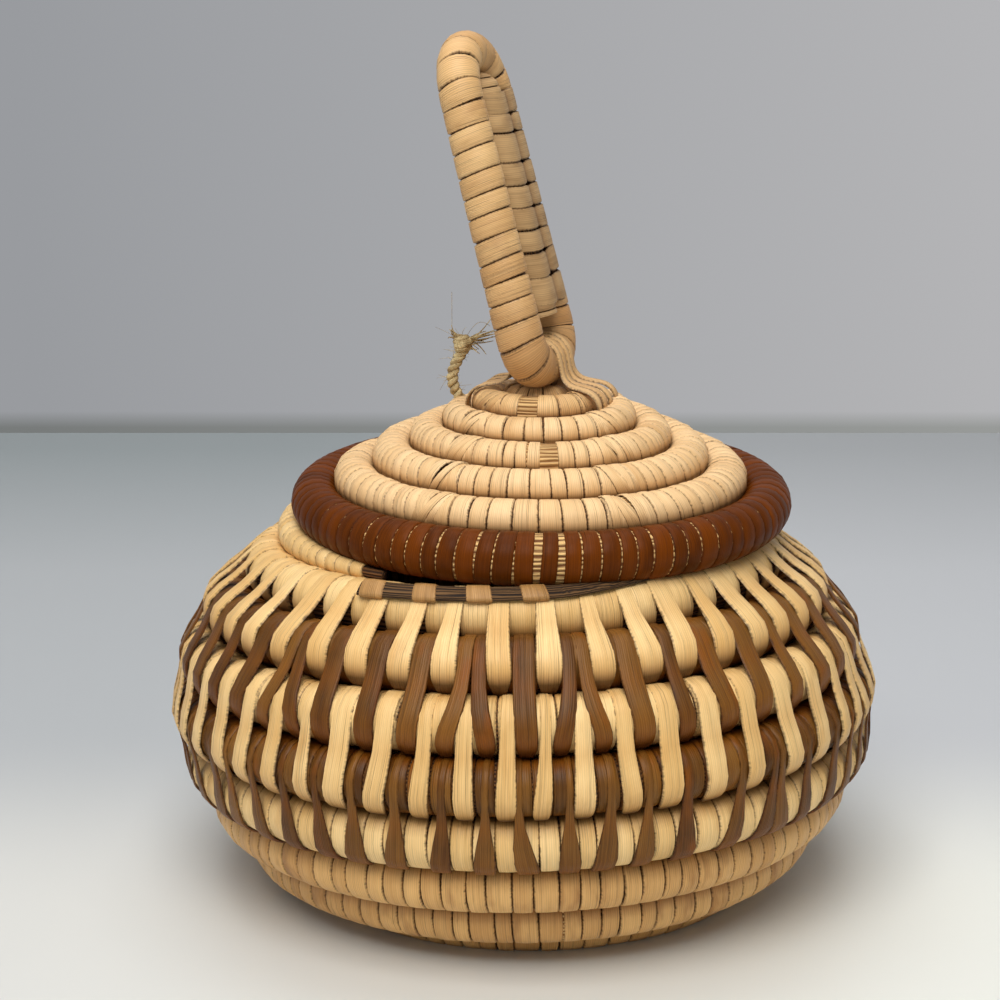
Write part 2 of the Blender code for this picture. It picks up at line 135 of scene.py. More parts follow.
class Graph:
    """The node tree of one material or world."""

    def __init__(self, owner: Union[bpy.types.Material, bpy.types.World]) -> None:
        """Empties the owner's node tree.

        Args:
            owner: The material or world.
        """
        owner.use_nodes = True
        self.tree = owner.node_tree
        self.tree.nodes.clear()

    def feed(self, socket: bpy.types.NodeSocket, value: Any) -> None:
        """Sets a socket to a constant, or links a wire to it.

        Args:
            socket: The input socket.
            value: A wire, a number, a colour or a vector.
        """
        if isinstance(value, Wire):
            self.tree.links.new(value.socket, socket)
        elif isinstance(value, (tuple, list)) and len(socket.default_value) == 4 and len(value) == 3:
            socket.default_value = (*value, 1.0)
        else:
            socket.default_value = value

    def node(self, kind: str, settings: Optional[dict[str, Any]] = None, out: Union[int, str] = 0,
             **values: Any) -> Wire:
        """Adds a node of any type.

        Args:
            kind: The node's type, without the ShaderNode in front.
            settings: Its settings, which are set first.
            out: The index or identifier of the output that is returned.
            **values: Values or wires of its inputs, by identifier with spaces left out.

        Returns:
            The chosen output.
        """
        made = self.tree.nodes.new("ShaderNode" + kind)
        for name, value in (settings or {}).items():
            setattr(made, name, value)
        for name, value in values.items():
            found = [socket for socket in made.inputs if socket.identifier.replace(" ", "") == name]
            self.feed(found[0], value)
        if isinstance(out, int):
            return Wire(self, made.outputs[out])
        return Wire(self, [socket for socket in made.outputs if socket.identifier == out][0])

    def math(self, operation: str, first: Value, second: Value = 0.0) -> Wire:
        """Adds a Math node on one or two values."""
        made = self.tree.nodes.new("ShaderNodeMath")
        made.operation = operation
        self.feed(made.inputs[0], first)
        self.feed(made.inputs[1], second)
        return Wire(self, made.outputs[0])

    def mix(self, factor: Value, first: Union[Wire, Colour], second: Union[Wire, Colour],
            blend: str = "MIX") -> Wire:
        """Mixes two colours.

        Args:
            factor: How much of the second shows.
            first: The colour at 0.
            second: The colour at 1.
            blend: How they are mixed.

        Returns:
            The mixed colour.
        """
        settings = {"data_type": "RGBA", "blend_type": blend}
        return self.node("Mix", settings, "Result_Color", Factor_Float=factor, A_Color=first, B_Color=second)

    def tint(self, colour: Wire, amount: Wire) -> Wire:
        """A colour made darker or lighter by a number."""
        grey = self.node("CombineColor", Red=amount, Green=amount, Blue=amount)
        return self.mix(1.0, colour, grey, "MULTIPLY")

    def attribute(self, name: str) -> tuple[Wire, Wire, Wire]:
        """The three numbers of a mesh attribute."""
        vector = self.node("Attribute", {"attribute_name": name}, "Vector")
        return self.parts(vector)

    def parts(self, vector: Wire) -> tuple[Wire, Wire, Wire]:
        """The three numbers of a vector."""
        made = self.tree.nodes.new("ShaderNodeSeparateXYZ")
        self.feed(made.inputs[0], vector)
        return tuple(Wire(self, socket) for socket in made.outputs)

    def vector(self, x: Value, y: Value, z: Value) -> Wire:
        """A vector of three numbers."""
        return self.node("CombineXYZ", X=x, Y=y, Z=z)

    def noise(self, vector: Wire, scale: float, detail: float = 2.0) -> Wire:
        """Noise between 0 and 1 about 0.5."""
        return self.node("TexNoise", {"noise_dimensions": "3D"}, "Fac", Vector=vector, Scale=scale, Detail=detail)

    def bump(self, height: Wire) -> Wire:
        """A normal from a height in metres."""
        return self.node("Bump", Height=height, Strength=1.0, Distance=1.0)

    def surface(self, shader: Wire, kind: str = "OutputMaterial") -> None:
        """Ends the graph in its output."""
        made = self.tree.nodes.new("ShaderNode" + kind)
        self.feed(made.inputs["Surface"], shader)


@dataclass(frozen=True)
class PalmFinish:
    """Satin strips of palm leaf with fine ribs along them."""

    name: str
    slot: str
    light: Colour
    dark: Colour
    # The tint of the painted shade in the grooves, with warm painted bounced light, and of the painted shade on the
    # handle.
    shade_tint: Colour
    stain: Colour
    stain_share: float = 0.25
    variety: float = 0.8
    roughness: float = 0.46
    edge_shade: float = 0.84
    rib_width: float = 0.42
    rib_height: float = 0.03 * MM
    gleam: float = 0.36
    rib_shade: float = 0.13
    # The height under which the handle's strips are darkened with painted shade; from 20 mm above it they darken a
    # little again towards the top.
    shaded_below: float = 0.0

    def make(self) -> bpy.types.Material:
        """Makes the material.

        Returns:
            The material.
        """
        made = bpy.data.materials.new(self.name)
        graph = Graph(made)
        across, along, chance = graph.attribute("lay")
        # This attribute holds each point's place across its strip, the painted shade towards a groove, and a random
        # number.
        edge, groove_shade, other = graph.attribute("wear")
        streaks = graph.noise(graph.vector(across * 2.4 + chance * 61.0, along * 0.045, other * 23.0), 1.0, 3.0)
        creases = graph.noise(graph.vector(across * 6.0 + other * 47.0, along * 0.05, chance * 31.0), 1.0, 1.0)
        blotch = graph.noise(graph.vector(across * 0.3 + other * 37.0, along * 0.12, chance * 19.0), 1.0, 2.0)
        ribs = (across * (TAU / self.rib_width) + (streaks - 0.5) * 3.0).sine() * 0.5 + 0.5
        share = ((streaks - 0.5) * 1.1 + (chance - 0.5) * self.variety + (blotch - 0.5) * 0.8 + 0.5).clamped()
        colour = graph.mix(share, self.light, self.dark)
        spots = ((blotch + (other - 0.5) * 0.3 - 0.62) * 5.0).clamped() * self.stain_share
        colour = graph.mix(spots, colour, self.stain)
        # Painted shade: darker towards the handle's foot, and a little darker towards its top.
        if self.shaded_below:
            height = graph.parts(graph.node("TexCoord", out="Object"))[2]
            low_and_top_shade = ((self.shaded_below - height) * 40.0).clamped() * 0.5
            colour = graph.mix(low_and_top_shade + ((height - self.shaded_below) * 60.0 - 1.2).clamped() * 0.22, colour, self.shade_tint)
        # Painted shade in the grooves between rows, with warm painted bounced light.
        colour = graph.mix((groove_shade * 0.85).clamped(), colour, self.shade_tint)
        lines = ((0.39 - creases) * 9.0).clamped()
        jags = graph.noise(graph.vector(along * 2.2, chance * 71.0, other * 13.0), 1.0, 1.0)
        # Painted shade: the strips darken towards the seam colour at their edges and deep in the grooves.
        side = ((edge - 0.87 + (jags - 0.5) * 0.24) * 7.0).clamped()
        seam_and_groove_shade = 1.0 - (1.0 - side * self.edge_shade) * (1.0 - groove_shade**4.0 * 0.8)
        colour = graph.tint(colour, (1.0 - (1.0 - ribs) * self.rib_shade) * (1.0 - lines * 0.36))
        colour = graph.mix(seam_and_groove_shade, colour, SEAM_SHADE)
        rough = (streaks - 0.5) * 0.25 + self.roughness
        height = (ribs * 0.9 + streaks * 1.6 - lines * 1.5) * self.rib_height
        shader = graph.node("BsdfPrincipled", BaseColor=colour, Roughness=rough, Normal=graph.bump(height),
                            SpecularIORLevel=self.gleam)
        graph.surface(shader)
        return made


@dataclass(frozen=True)
class GrassFinish:
    """The bundle of dry grass stems inside a rope."""

    name: str
    slot: str
    # The default tones are darkened as painted shade, far below the pale tones of bared grass, as the core shows
    # mostly in narrow seams between wraps.
    light: Colour = tone(122, 80, 40)
    dark: Colour = tone(38, 16, 4)
    stem_width: float = 1.05

    def make(self) -> bpy.types.Material:
        """Makes the material.

        Returns:
            The material.
        """
        made = bpy.data.materials.new(self.name)
        graph = Graph(made)
        across, along, chance = graph.attribute("lay")
        drift = graph.noise(graph.vector(across * 0.5, along * 0.06, chance * 5.0), 1.0, 2.0)
        stems = graph.noise(graph.vector(across * 1.9 + chance * 17.0, along * 0.07, chance * 5.0), 1.0, 3.0)
        rounds = (across * (TAU / self.stem_width) + (drift - 0.5) * 14.0).sine() * 0.5 + 0.5
        share = ((stems - 0.5) * 1.6 + rounds**0.6 * 1.1 - 0.25).clamped()
        colour = graph.mix(share, self.dark, self.light)
        shader = graph.node("BsdfPrincipled", BaseColor=colour, Roughness=0.75,
                            Normal=graph.bump((stems * 0.3 + rounds * 0.25) * MM), SpecularIORLevel=0.3)
        graph.surface(shader)
        return made


@dataclass(frozen=True)
class FibreFinish:
    """Loose fibres and the fuzzy twine."""

    name: str
    slot: str
    light: Colour = tone(214, 196, 150)
    dark: Colour = tone(132, 104, 66)

    def make(self) -> bpy.types.Material:
        """Makes the material.

        Returns:
            The material.
        """
        made = bpy.data.materials.new(self.name)
        graph = Graph(made)
        across, along, chance = graph.attribute("lay")
        place = graph.node("TexCoord", out="Object")
        patches = graph.noise(place, 420.0, 2.0)
        strands = graph.noise(graph.vector(across * 3.0, along * 0.5, chance * 31.0), 1.0, 2.0)
        share = ((patches - 0.5) * 2.2 + (strands - 0.5) * 1.2 + 0.45).clamped()
        colour = graph.mix(share, self.light, self.dark)
        shader = graph.node("BsdfPrincipled", BaseColor=colour, Roughness=0.85,
                            Normal=graph.bump(strands * 0.12 * MM), SpecularIORLevel=0.25)
        graph.surface(shader)
        return made


class Leaf(Enum):
    """The dyes of the palm strips, some darkened as painted shade."""

    CREAM = "cream"
    PALE = "pale"
    HONEY = "honey"
    TAN = "tan"
    DULL = "dull"
    BROWN = "brown"
    RIM_BROWN = "rim_brown"

    def finish(self, slot: str) -> PalmFinish:
        """The finish of this dye for one material slot of the record.

        Args:
            slot: The record's slot.

        Returns:
            The finish.
        """
        name = self.value + "_" + slot
        if self is Leaf.CREAM:
            return PalmFinish(name, slot, tone(249, 213, 151), tone(226, 183, 116), tone(206, 146, 72),
                              tone(182, 124, 58))
        if self is Leaf.PALE:
            return PalmFinish(name, slot, tone(247, 211, 161), tone(231, 190, 136), tone(200, 148, 88),
                              tone(190, 138, 80), 0.3, 0.6, 0.5, 0.84, 0.36, gleam=0.28)
        # Honey is a tan darker than cream, partly as painted shade on the lower rows that face down.
        if self is Leaf.HONEY:
            return PalmFinish(name, slot, tone(236, 188, 120), tone(204, 153, 90), tone(170, 112, 54),
                              tone(148, 94, 44), 0.5)
        # Shaded tan is tan darkened as painted shade, for the middle rope and the band, which lie behind the loop's
        # front limb.
        if self is Leaf.DULL:
            return PalmFinish(name, slot, tone(206, 170, 122), tone(172, 137, 94), tone(150, 108, 64),
                              tone(140, 104, 66), 0.4, 0.7, 0.55, 0.8, 0.42, 0.015 * MM, 0.25, 0.18)
        if self is Leaf.TAN:
            return PalmFinish(name, slot, tone(240, 199, 141), tone(214, 168, 111), tone(178, 124, 70),
                              tone(158, 108, 62), 0.35, 0.7, 0.5, 0.84, 0.34, rib_shade=0.24,
                              shaded_below=0.152 if slot == "handle_palm" else 0.0)
        if self is Leaf.BROWN:
            return PalmFinish(name, slot, tone(134, 90, 36), tone(82, 48, 13), tone(144, 78, 8),
                              tone(144, 80, 14), 0.6, 0.85, 0.42, 0.8, 0.42, 0.03 * MM, 0.2, 0.2)
        return PalmFinish(name, slot, tone(112, 54, 5), tone(78, 36, 3), tone(54, 23, 3),
                          tone(60, 27, 4), 0.45, 0.6, 0.42, 0.6, 0.42, 0.014 * MM, 0.07)


# Modelling.

def deselect() -> None:
    """Leaves edit mode and selects nothing."""
    if bpy.context.object and bpy.context.object.mode != "OBJECT":
        bpy.ops.object.mode_set(mode="OBJECT")
    bpy.ops.object.select_all(action="DESELECT")


def grid(name: str, across: int, along: int) -> bpy.types.Object:
    """Adds a flat grid from -1 to 1.

    Args:
        name: The piece's name.
        across: Faces along X.
        along: Faces along Y.

    Returns:
        The grid, selected and active.
    """
    deselect()
    bpy.ops.mesh.primitive_grid_add(x_subdivisions=across, y_subdivisions=along, size=2.0)
    made = bpy.context.object
    made.name = name
    made.data.name = name
    return made


def places(piece: bpy.types.Object) -> Array:
    """The places of a piece's points, one row each."""
    flat = np.empty(len(piece.data.vertices) * 3)
    piece.data.vertices.foreach_get("co", flat)
    return flat.reshape(-1, 3)


def move_points(piece: bpy.types.Object, points: Array) -> None:
    """Puts a piece's points at new places."""
    piece.data.vertices.foreach_set("co", np.ascontiguousarray(points).ravel())
    piece.data.update()


def note(piece: bpy.types.Object, name: str, *columns: Array) -> None:
    """Writes three numbers for each point, which the materials read."""
    layer = piece.data.attributes.new(name, "FLOAT_VECTOR", "POINT")
    layer.data.foreach_set("vector", np.column_stack(columns).astype(float).ravel())


def close_up(piece: bpy.types.Object, outward: Optional[Array] = None) -> None:
    """Merges the seams, turns the faces outwards if they aren't, and shades smoothly.

    Args:
        piece: The piece, selected and active.
        outward: The way out at each point before the seams are merged, where the piece is an open sheet.
    """
    mesh = piece.data
    normals = np.empty(len(mesh.vertices) * 3)
    mesh.vertex_normals.foreach_get("vector", normals)
    inside_out = False
    if outward is not None:
        inside_out = float((normals.reshape(-1, 3) * outward).sum()) < 0
    deselect()
    piece.select_set(True)
    bpy.context.view_layer.objects.active = piece
    bpy.ops.object.mode_set(mode="EDIT")
    bpy.ops.mesh.select_all(action="SELECT")
    bpy.ops.mesh.remove_doubles(threshold=0.004 * MM)
    if outward is None:
        bpy.ops.mesh.normals_make_consistent(inside=False)
    if inside_out:
        bpy.ops.mesh.flip_normals()
    bpy.ops.object.mode_set(mode="OBJECT")
    bpy.ops.object.shade_smooth()
    if outward is not None:
        flats = piece.modifiers.new("flats", "WEIGHTED_NORMAL")
        flats.weight = 90
        bpy.ops.object.modifier_apply(modifier=flats.name)


def unit(vectors: Array) -> Array:
    """Vectors at length 1, one a row."""
    return vectors / np.maximum(np.linalg.norm(vectors, axis=-1, keepdims=True), 1e-12)


STRIP_COLUMNS = 4
# For each column of points: where it is in the grid, how far it is spread, and its height as a share.
STRIP_SHAPE = ((0.5, 1.76, 0.82), (0.0, 1.0, 1.0), (1.0, 1.0, -1.0))


def strip_template(name: str, count: int, along: int, thickness: float) -> bpy.types.Object:
    """Models one flat strip with a rounded back and copies it into a column of strips.

    Args:
        name: The piece's name.
        count: How many strips.
        along: Faces along each strip.
        thickness: The height of the strip's back over its edges.

    Returns:
        The column: strip n lies between 4 n - 1 and 4 n + 1 along Y.
    """
    strip = grid(name, STRIP_COLUMNS, along)
    for column, spread, height in STRIP_SHAPE:
        bpy.ops.object.mode_set(mode="EDIT")
        bpy.ops.mesh.select_all(action="DESELECT")
        bpy.ops.object.mode_set(mode="OBJECT")
        for point in strip.data.vertices:
            point.select = abs(abs(point.co.x) - column) < 0.01 and abs(point.co.z) < 1e-9
        bpy.ops.object.mode_set(mode="EDIT")
        bpy.ops.mesh.select_mode(type="VERT")
        bpy.ops.transform.resize(value=(spread, 1.0, 1.0))
        bpy.ops.transform.translate(value=(0.0, 0.0, height * thickness))
        bpy.ops.object.mode_set(mode="OBJECT")
    copies = strip.modifiers.new("copies", "ARRAY")
    copies.count = count
    copies.use_relative_offset = False
    copies.use_constant_offset = True
    copies.constant_offset_displace = (0.0, 4.0, 0.0)
    bpy.ops.object.modifier_apply(modifier=copies.name)
    return strip


@dataclass
class RopeLine:
    """The middle line of a rope, with the ways out and up beside it and its radius."""

    marks: Array
    centres: Array
    outs: Array
    ups: Array
    radii: Array
    speeds: Array
    flat: float = 1.0

    def at(self, marks: Array) -> tuple[Array, Array, Array, Array, Array]:
        """The line at some counts along it.

        Args:
            marks: The counts, in turns or metres.

        Returns:
            Centres, ways out, ways up, radii and metres for each count.
        """
        def row(table: Array) -> Array:
            """One column of the line at the counts."""
            return np.stack([np.interp(marks, self.marks, column) for column in table.T], axis=-1)

        radii = np.interp(marks, self.marks, self.radii)
        speeds = np.interp(marks, self.marks, self.speeds)
        return row(self.centres), unit(row(self.outs)), unit(row(self.ups)), radii, speeds


def rope_line(marks: Array, centres: Array, ways: Array, radii: Array) -> RopeLine:
    """Builds a rope's line with its ways squared to its run.

    Args:
        marks: Counts along the rope.
        centres: Its middle line.
        ways: Roughly the way out, at each point.
        radii: Its radius.

    Returns:
        The line.
    """
    run = np.gradient(centres, marks, axis=0)
    speeds = np.linalg.norm(run, axis=1)
    run = unit(run)
    outs = unit(ways - (ways * run).sum(axis=1, keepdims=True) * run)
    ups = np.cross(outs, run)
    return RopeLine(marks, centres, outs, ups, radii, speeds)


@dataclass
class Strips:
    """Where a row of strips lies along a rope."""

    middles: Array
    halves: Array
    slants: Array
    lifts: Array
    seed: int = 1
    floor: bool = False
    # Which way the open side of the row faces, in radians up from outwards.
    facing: Optional[float] = None
    # From how far off that way the strips start to darken with painted shade towards the grooves, as a sine.
    groove_shade_from: float = 0.72
    # How much narrower a strip is on the side towards the way given.
    pinch: float = 0.0
    pinch_ways: tuple[float, ...] = ()

    def draws(self) -> tuple[Array, Array]:
        """Two random numbers for each strip."""
        dice = np.random.default_rng(self.seed)
        return dice.random(len(self.middles)), dice.random(len(self.middles))


def strip_numbers(piece: bpy.types.Object) -> tuple[Array, Array, Array, Array]:
    """Reads a column of strips: each point's strip, place across, place along and height."""
    points = places(piece)
    number = np.floor((points[:, 1] + 1.5) / 4).astype(int)
    return number, points[:, 0], (points[:, 1] - number * 4 + 1) / 2, points[:, 2]


def settle(points: Array, least: float) -> Array:
    """Flattens what would lie under the table."""
    points = points.copy()
    points[:, 2] = np.maximum(points[:, 2], least)
    return points


def around_rope(line: RopeLine, centre: Array, out: Array, up: Array, radius: Array, angle: Array,
                lift: Array) -> tuple[Array, Array]:
    """Points on a rope's skin, and the way out there.

    Args:
        line: The rope.
        centre: Its middle line at each point.
        out: The way out.
        up: The way up.
        radius: Its radius.
        angle: The angle round it, from the way out.
        lift: The height over its skin.

    Returns:
        The points and the ways.
    """
    cosine, sine = np.cos(angle)[:, None], np.sin(angle)[:, None]
    way = unit(cosine * out + sine * up * line.flat)
    skin = (cosine * out * line.flat + sine * up) * radius[:, None]
    return centre + skin + way * lift[:, None], way


def lay_wraps(name: str, line: RopeLine, strips: Strips, along: int = 18,
              thickness: float = 0.28 * MM) -> bpy.types.Object:
    """Wraps strips right round one rope.

    Args:
        name: The piece's name.
        line: The rope.
        strips: Where they lie. Halves are counts along the rope.
        along: Faces along each strip.
        thickness: The height of a strip's back over the rope.

    Returns:
        The piece.
    """
    piece = strip_template(name, len(strips.middles), along, thickness)
    number, x, t, z = strip_numbers(piece)
    chance, other = strips.draws()
    angle = math.pi - TAU * t
    centre, out, up, radius, speed = line.at(strips.middles[number])
    shift = -strips.slants[number] / 2 * np.sin(angle) / speed
    width = np.ones(len(angle))
    for pinch_way in strips.pinch_ways:
        width -= strips.pinch * np.maximum(np.cos(angle - pinch_way), 0)**6
    mark = strips.middles[number] + shift + x * strips.halves[number] * width
    centre, out, up, radius, speed = line.at(mark)
    points, way = around_rope(line, centre, out, up, radius, angle, strips.lifts[number] + z)
    if strips.floor:
        points = settle(points, 0.05 * MM)
    move_points(piece, points)
    half = strips.halves[number] * speed / MM
    note(piece, "lay", x * half, t * TAU * radius / MM, chance[number])
    # Painted shade: the wraps darken where they turn into the grooves beside the row.
    groove_shade = np.zeros(len(angle))
    if strips.facing is not None:
        aside = np.abs(np.sin(angle - strips.facing))
        groove_shade = np.clip((aside - strips.groove_shade_from) / (1 - strips.groove_shade_from), 0, 1)
    note(piece, "wear", np.abs(x), groove_shade, other[number])
    close_up(piece, way)
    return piece


def lay_core(name: str, line: RopeLine, start: float, end: float, steps: int, sink: float,
             floor: bool = False, around: int = 14) -> bpy.types.Object:
    """Models the grass core of a rope as one closed tube.

    Args:
        name: The piece's name.
        line: The rope.
        start: The count at which the core starts.
        end: The count at which it ends.
        steps: Faces along it.
        sink: How far its skin lies under the rope's radius.
        floor: True where it lies on the table.
        around: Faces around it.

    Returns:
        The piece.
    """
    piece = grid(name, around, steps + 2)
    points = places(piece)
    row = np.rint((points[:, 1] + 1) / 2 * (steps + 2)) - 1
    mark = start + (end - start) * np.clip(row / steps, 0, 1)
    angle = -math.pi * points[:, 0]
    centre, out, up, radius, speed = line.at(mark)
    capped = (row < 0) | (row > steps)
    shaped, way = around_rope(line, centre, out, up, radius, angle, np.full(len(angle), -sink))
    shaped = np.where(capped[:, None], centre, shaped)
    if floor:
        shaped = settle(shaped, 0.15 * MM)
    move_points(piece, shaped)
    note(piece, "lay", angle * radius / MM, mark * speed / MM, np.full(len(mark), 0.5))
    close_up(piece)
    return piece


def lay_tube(name: str, paths: Sequence[Array], radii: Sequence[Array], around: int = 6) -> bpy.types.Object:
    """Models threads as one piece of thin closed tubes.

    Args:
        name: The piece's name.
        paths: The middle line of each thread, all with the same number of points.
        radii: Its thickness at each point.
        around: Faces around it.

    Returns:
        The piece.
    """
    steps = len(paths[0]) - 1
    piece = grid(name, around, steps + 2)
    copies = piece.modifiers.new("copies", "ARRAY")
    copies.count = len(paths)
    copies.use_relative_offset = False
    copies.use_constant_offset = True
    copies.constant_offset_displace = (0.0, 4.0, 0.0)
    bpy.ops.object.modifier_apply(modifier=copies.name)
    number, x, t, z = strip_numbers(piece)
    row = np.rint(t * (steps + 2)).astype(int) - 1
    held = np.clip(row, 0, steps)
    table = np.array(paths)
    thick = np.array(radii)
    run = unit(np.gradient(table, axis=1))
    guess = np.where(np.abs(run[..., 2:3]) < 0.8, np.array((0.0, 0.0, 1.0)), np.array((1.0, 0.0, 0.0)))
    side = unit(np.cross(run, guess))
    top = np.cross(run, side)
    angle = -math.pi * x
    way = (np.cos(angle)[:, None] * side[number, held] + np.sin(angle)[:, None] * top[number, held])
    reach = np.where((row < 0) | (row > steps), 0.0, thick[number, held])
    move_points(piece, table[number, held] + way * reach[:, None])
    length = np.concatenate([[0.0], np.cumsum(np.linalg.norm(np.diff(table[0], axis=0), axis=1))])
    note(piece, "lay", angle * thick.max() / MM, length[held] / MM, (number * 0.37) % 1)
    close_up(piece)
    return piece


def lay_ribbon(name: str, paths: Sequence[Array], ups: Sequence[Array], halves: Sequence[Array],
               thickness: float = 0.25 * MM, seed: int = 1) -> bpy.types.Object:
    """Lays flat strips along free paths.

    Args:
        name: The piece's name.
        paths: The middle line of each strip, all with the same number of points.
        ups: The way that the strip's back faces, at each point.
        halves: Half its width at each point.
        thickness: The height of its back over its edges.
        seed: For the random shades.

    Returns:
        The piece.
    """
    steps = len(paths[0]) - 1
    piece = strip_template(name, len(paths), steps, thickness)
    number, x, t, z = strip_numbers(piece)
    row = np.rint(t * steps).astype(int)
    table = np.array(paths)
    back = unit(np.array(ups))
    run = unit(np.gradient(table, axis=1))
    side = unit(np.cross(run, back))
    width = np.array(halves)[number, row]
    points = table[number, row] + side[number, row] * (x * width)[:, None] + back[number, row] * z[:, None]
    move_points(piece, points)
    length = np.linalg.norm(np.diff(table, axis=1), axis=2).sum(axis=1)
    dice = np.random.default_rng(seed)
    chance, other = dice.random(len(paths)), dice.random(len(paths))
    note(piece, "lay", x * width / MM, t * length[number] / MM, chance[number])
    # Painted shade towards both ends of each strand, where it goes down into the crown.
    note(piece, "wear", np.abs(x), np.clip(np.abs(t - 0.5) * 16 - 7.2, 0, 1), other[number])
    close_up(piece, back[number, row])
    return piece


def rounded(path: Array) -> Array:
    """A path with its corners cut off twice."""
    for _ in range(2):
        early, late = path[:-1] * 0.75 + path[1:] * 0.25, path[:-1] * 0.25 + path[1:] * 0.75
        cut = np.stack([early, late], axis=1).reshape(-1, path.shape[1])
        path = np.concatenate([path[:1], cut[1:-1], path[-1:]])
    return path


def dress(piece: bpy.types.Object, finish: Union[PalmFinish, GrassFinish, FibreFinish], body: str,
          node: Optional[str] = None) -> bpy.types.Object:
    """Gives a piece its material and its CAD body, and hides the node that it stands for.

    Args:
        piece: The piece.
        finish: Its finish.
        body: The body that it rides on.
        node: The node that it replaces.

    Returns:
        The piece.
    """
    made = bpy.data.materials.get(finish.name) or finish.make()
    piece.data.materials.clear()
    piece.data.materials.append(made)
    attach(piece, body)
    if node:
        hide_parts(node)
    log.info("%s: %d faces on %s", piece.name, len(piece.data.polygons), body)
    return piece


# How strips are spread along a rope.

def even(start: float, end: float, per_turn: float, seed: int, jitter: float = 0.12) -> tuple[Array, Array]:
    """Spreads strips side by side with slightly uneven widths.

    Args:
        start: The first count.
        end: The last count.
        per_turn: Strips for each count of 1.
        seed: For the uneven widths.
        jitter: How uneven they are.

    Returns:
        The strips' middles and half widths, in counts.
    """
    number = max(1, round((end - start) * per_turn))
    dice = np.random.default_rng(seed)
    widths = 1 + jitter * (dice.random(number) * 2 - 1)
    edges = start + (end - start) * np.concatenate([[0.0], np.cumsum(widths)]) / widths.sum()
    return (edges[1:] + edges[:-1]) / 2, (edges[1:] - edges[:-1]) / 2


def relax(tops: Array, share: float, jitter: float, seed: int) -> Array:
    """Evens places out a little among their neighbours.

    Args:
        tops: The places, in rising order within one turn.
        share: How much of each place is kept, each of three times.
        jitter: Random shift, as a share of the spacing.
        seed: For the random shift.

    Returns:
        The evened places.
    """
    for _ in range(3):
        before, after = np.roll(tops, 1), np.roll(tops, -1)
        before[0] -= 1
        after[-1] += 1
        tops = share * tops + (1 - share) * (before + after) / 2
    shift = jitter / len(tops) * (np.random.default_rng(seed).random(len(tops)) * 2 - 1)
    return tops + shift


def between(marks: Array, count: int, taken: float) -> tuple[Array, Array]:
    """Places in the gaps between others, with two in the widest gaps where more are wanted.

    Args:
        marks: The others' places, in rising order within one turn.
        count: How many are wanted, from as many as the others to twice as many.
        taken: How much of a turn each of the others covers.

    Returns:
        The places, and the free width for each, in turns.
    """
    gaps = np.diff(np.concatenate([marks, marks[:1] + 1]))
    doubled = np.zeros(len(marks), dtype=bool)
    doubled[np.argsort(-gaps)[:count - len(marks)]] = True
    room = np.maximum(gaps - taken, 0) / np.where(doubled, 2, 1)
    middle = marks + gaps / 2
    made = np.concatenate([middle[~doubled], (middle - room / 2)[doubled], (middle + room / 2)[doubled]])
    free = np.concatenate([room[~doubled], room[doubled], room[doubled]])
    order = np.argsort(made)
    return made[order], free[order]


def paired(marks: Array) -> tuple[Array, Array]:
    """Wraps side by side over one turn: one at each of the given places and one in each gap between.

    Args:
        marks: The places, in rising order within one turn.

    Returns:
        The wraps' middles and half widths, in turns.
    """
    closed = np.concatenate([marks, marks[:1] + 1])
    middles = np.concatenate([marks, (closed[1:] + closed[:-1]) / 2])
    middles = np.sort((middles + 0.5) % 1 - 0.5)
    middles = middles[(middles > -0.494) & (middles < 0.494)]
    edges = np.concatenate([[-0.5], (middles[1:] + middles[:-1]) / 2, [0.5]])
    return (edges[1:] + edges[:-1]) / 2, (edges[1:] - edges[:-1]) / 2


# The body.

@dataclass
class BodyRow:
    """One turn of the body's rope."""

    node: str
    leaf: Leaf
    wraps: int
    lift: float = 0.06 * MM
    cover: float = 0.975
    slant: float = 0.8 * MM
    # True where the wraps lie in step with the strips that come down from the row above.
    tucked: bool = False


@dataclass
class Binding:
    """The long strips that bind one row to the row below it."""

    turn: int
    node: str
    leaf: Leaf
    count: int
    # The row's outer radius, and the strips' width on the row below.
    girth: float
    width: float
    fill: float = 0.93
    least: float = 2.0 * MM
    most: float = 4.8 * MM
    wander: float = 0.05
    # How far each strip's lower width goes with its upper width.
    steady: float = 0.45


# The rows of points along a stitch, from the back over its own row and down round the next.
STITCH_STEPS = (0.0, 0.06, 0.12, 0.18, 0.24, 0.3, 0.36, 0.42, 0.475, 0.53, 0.59, 0.63, 0.66, 0.685, 0.705, 0.73, 0.8)
STITCH_PLACES = (0.0, 0.12, 0.4, 0.475, 0.55, 0.63, 0.66, 0.685, 0.705, 0.73, 0.8)
STITCH_WIDTHS = (0.8, 1.0, 1.0, 0.98, 1.0, 1.0, 1.0, 0.96, 0.87, 0.7, 0.5)
STITCH_SWAY = ((0.42, 0.0), (0.68, 1.0))


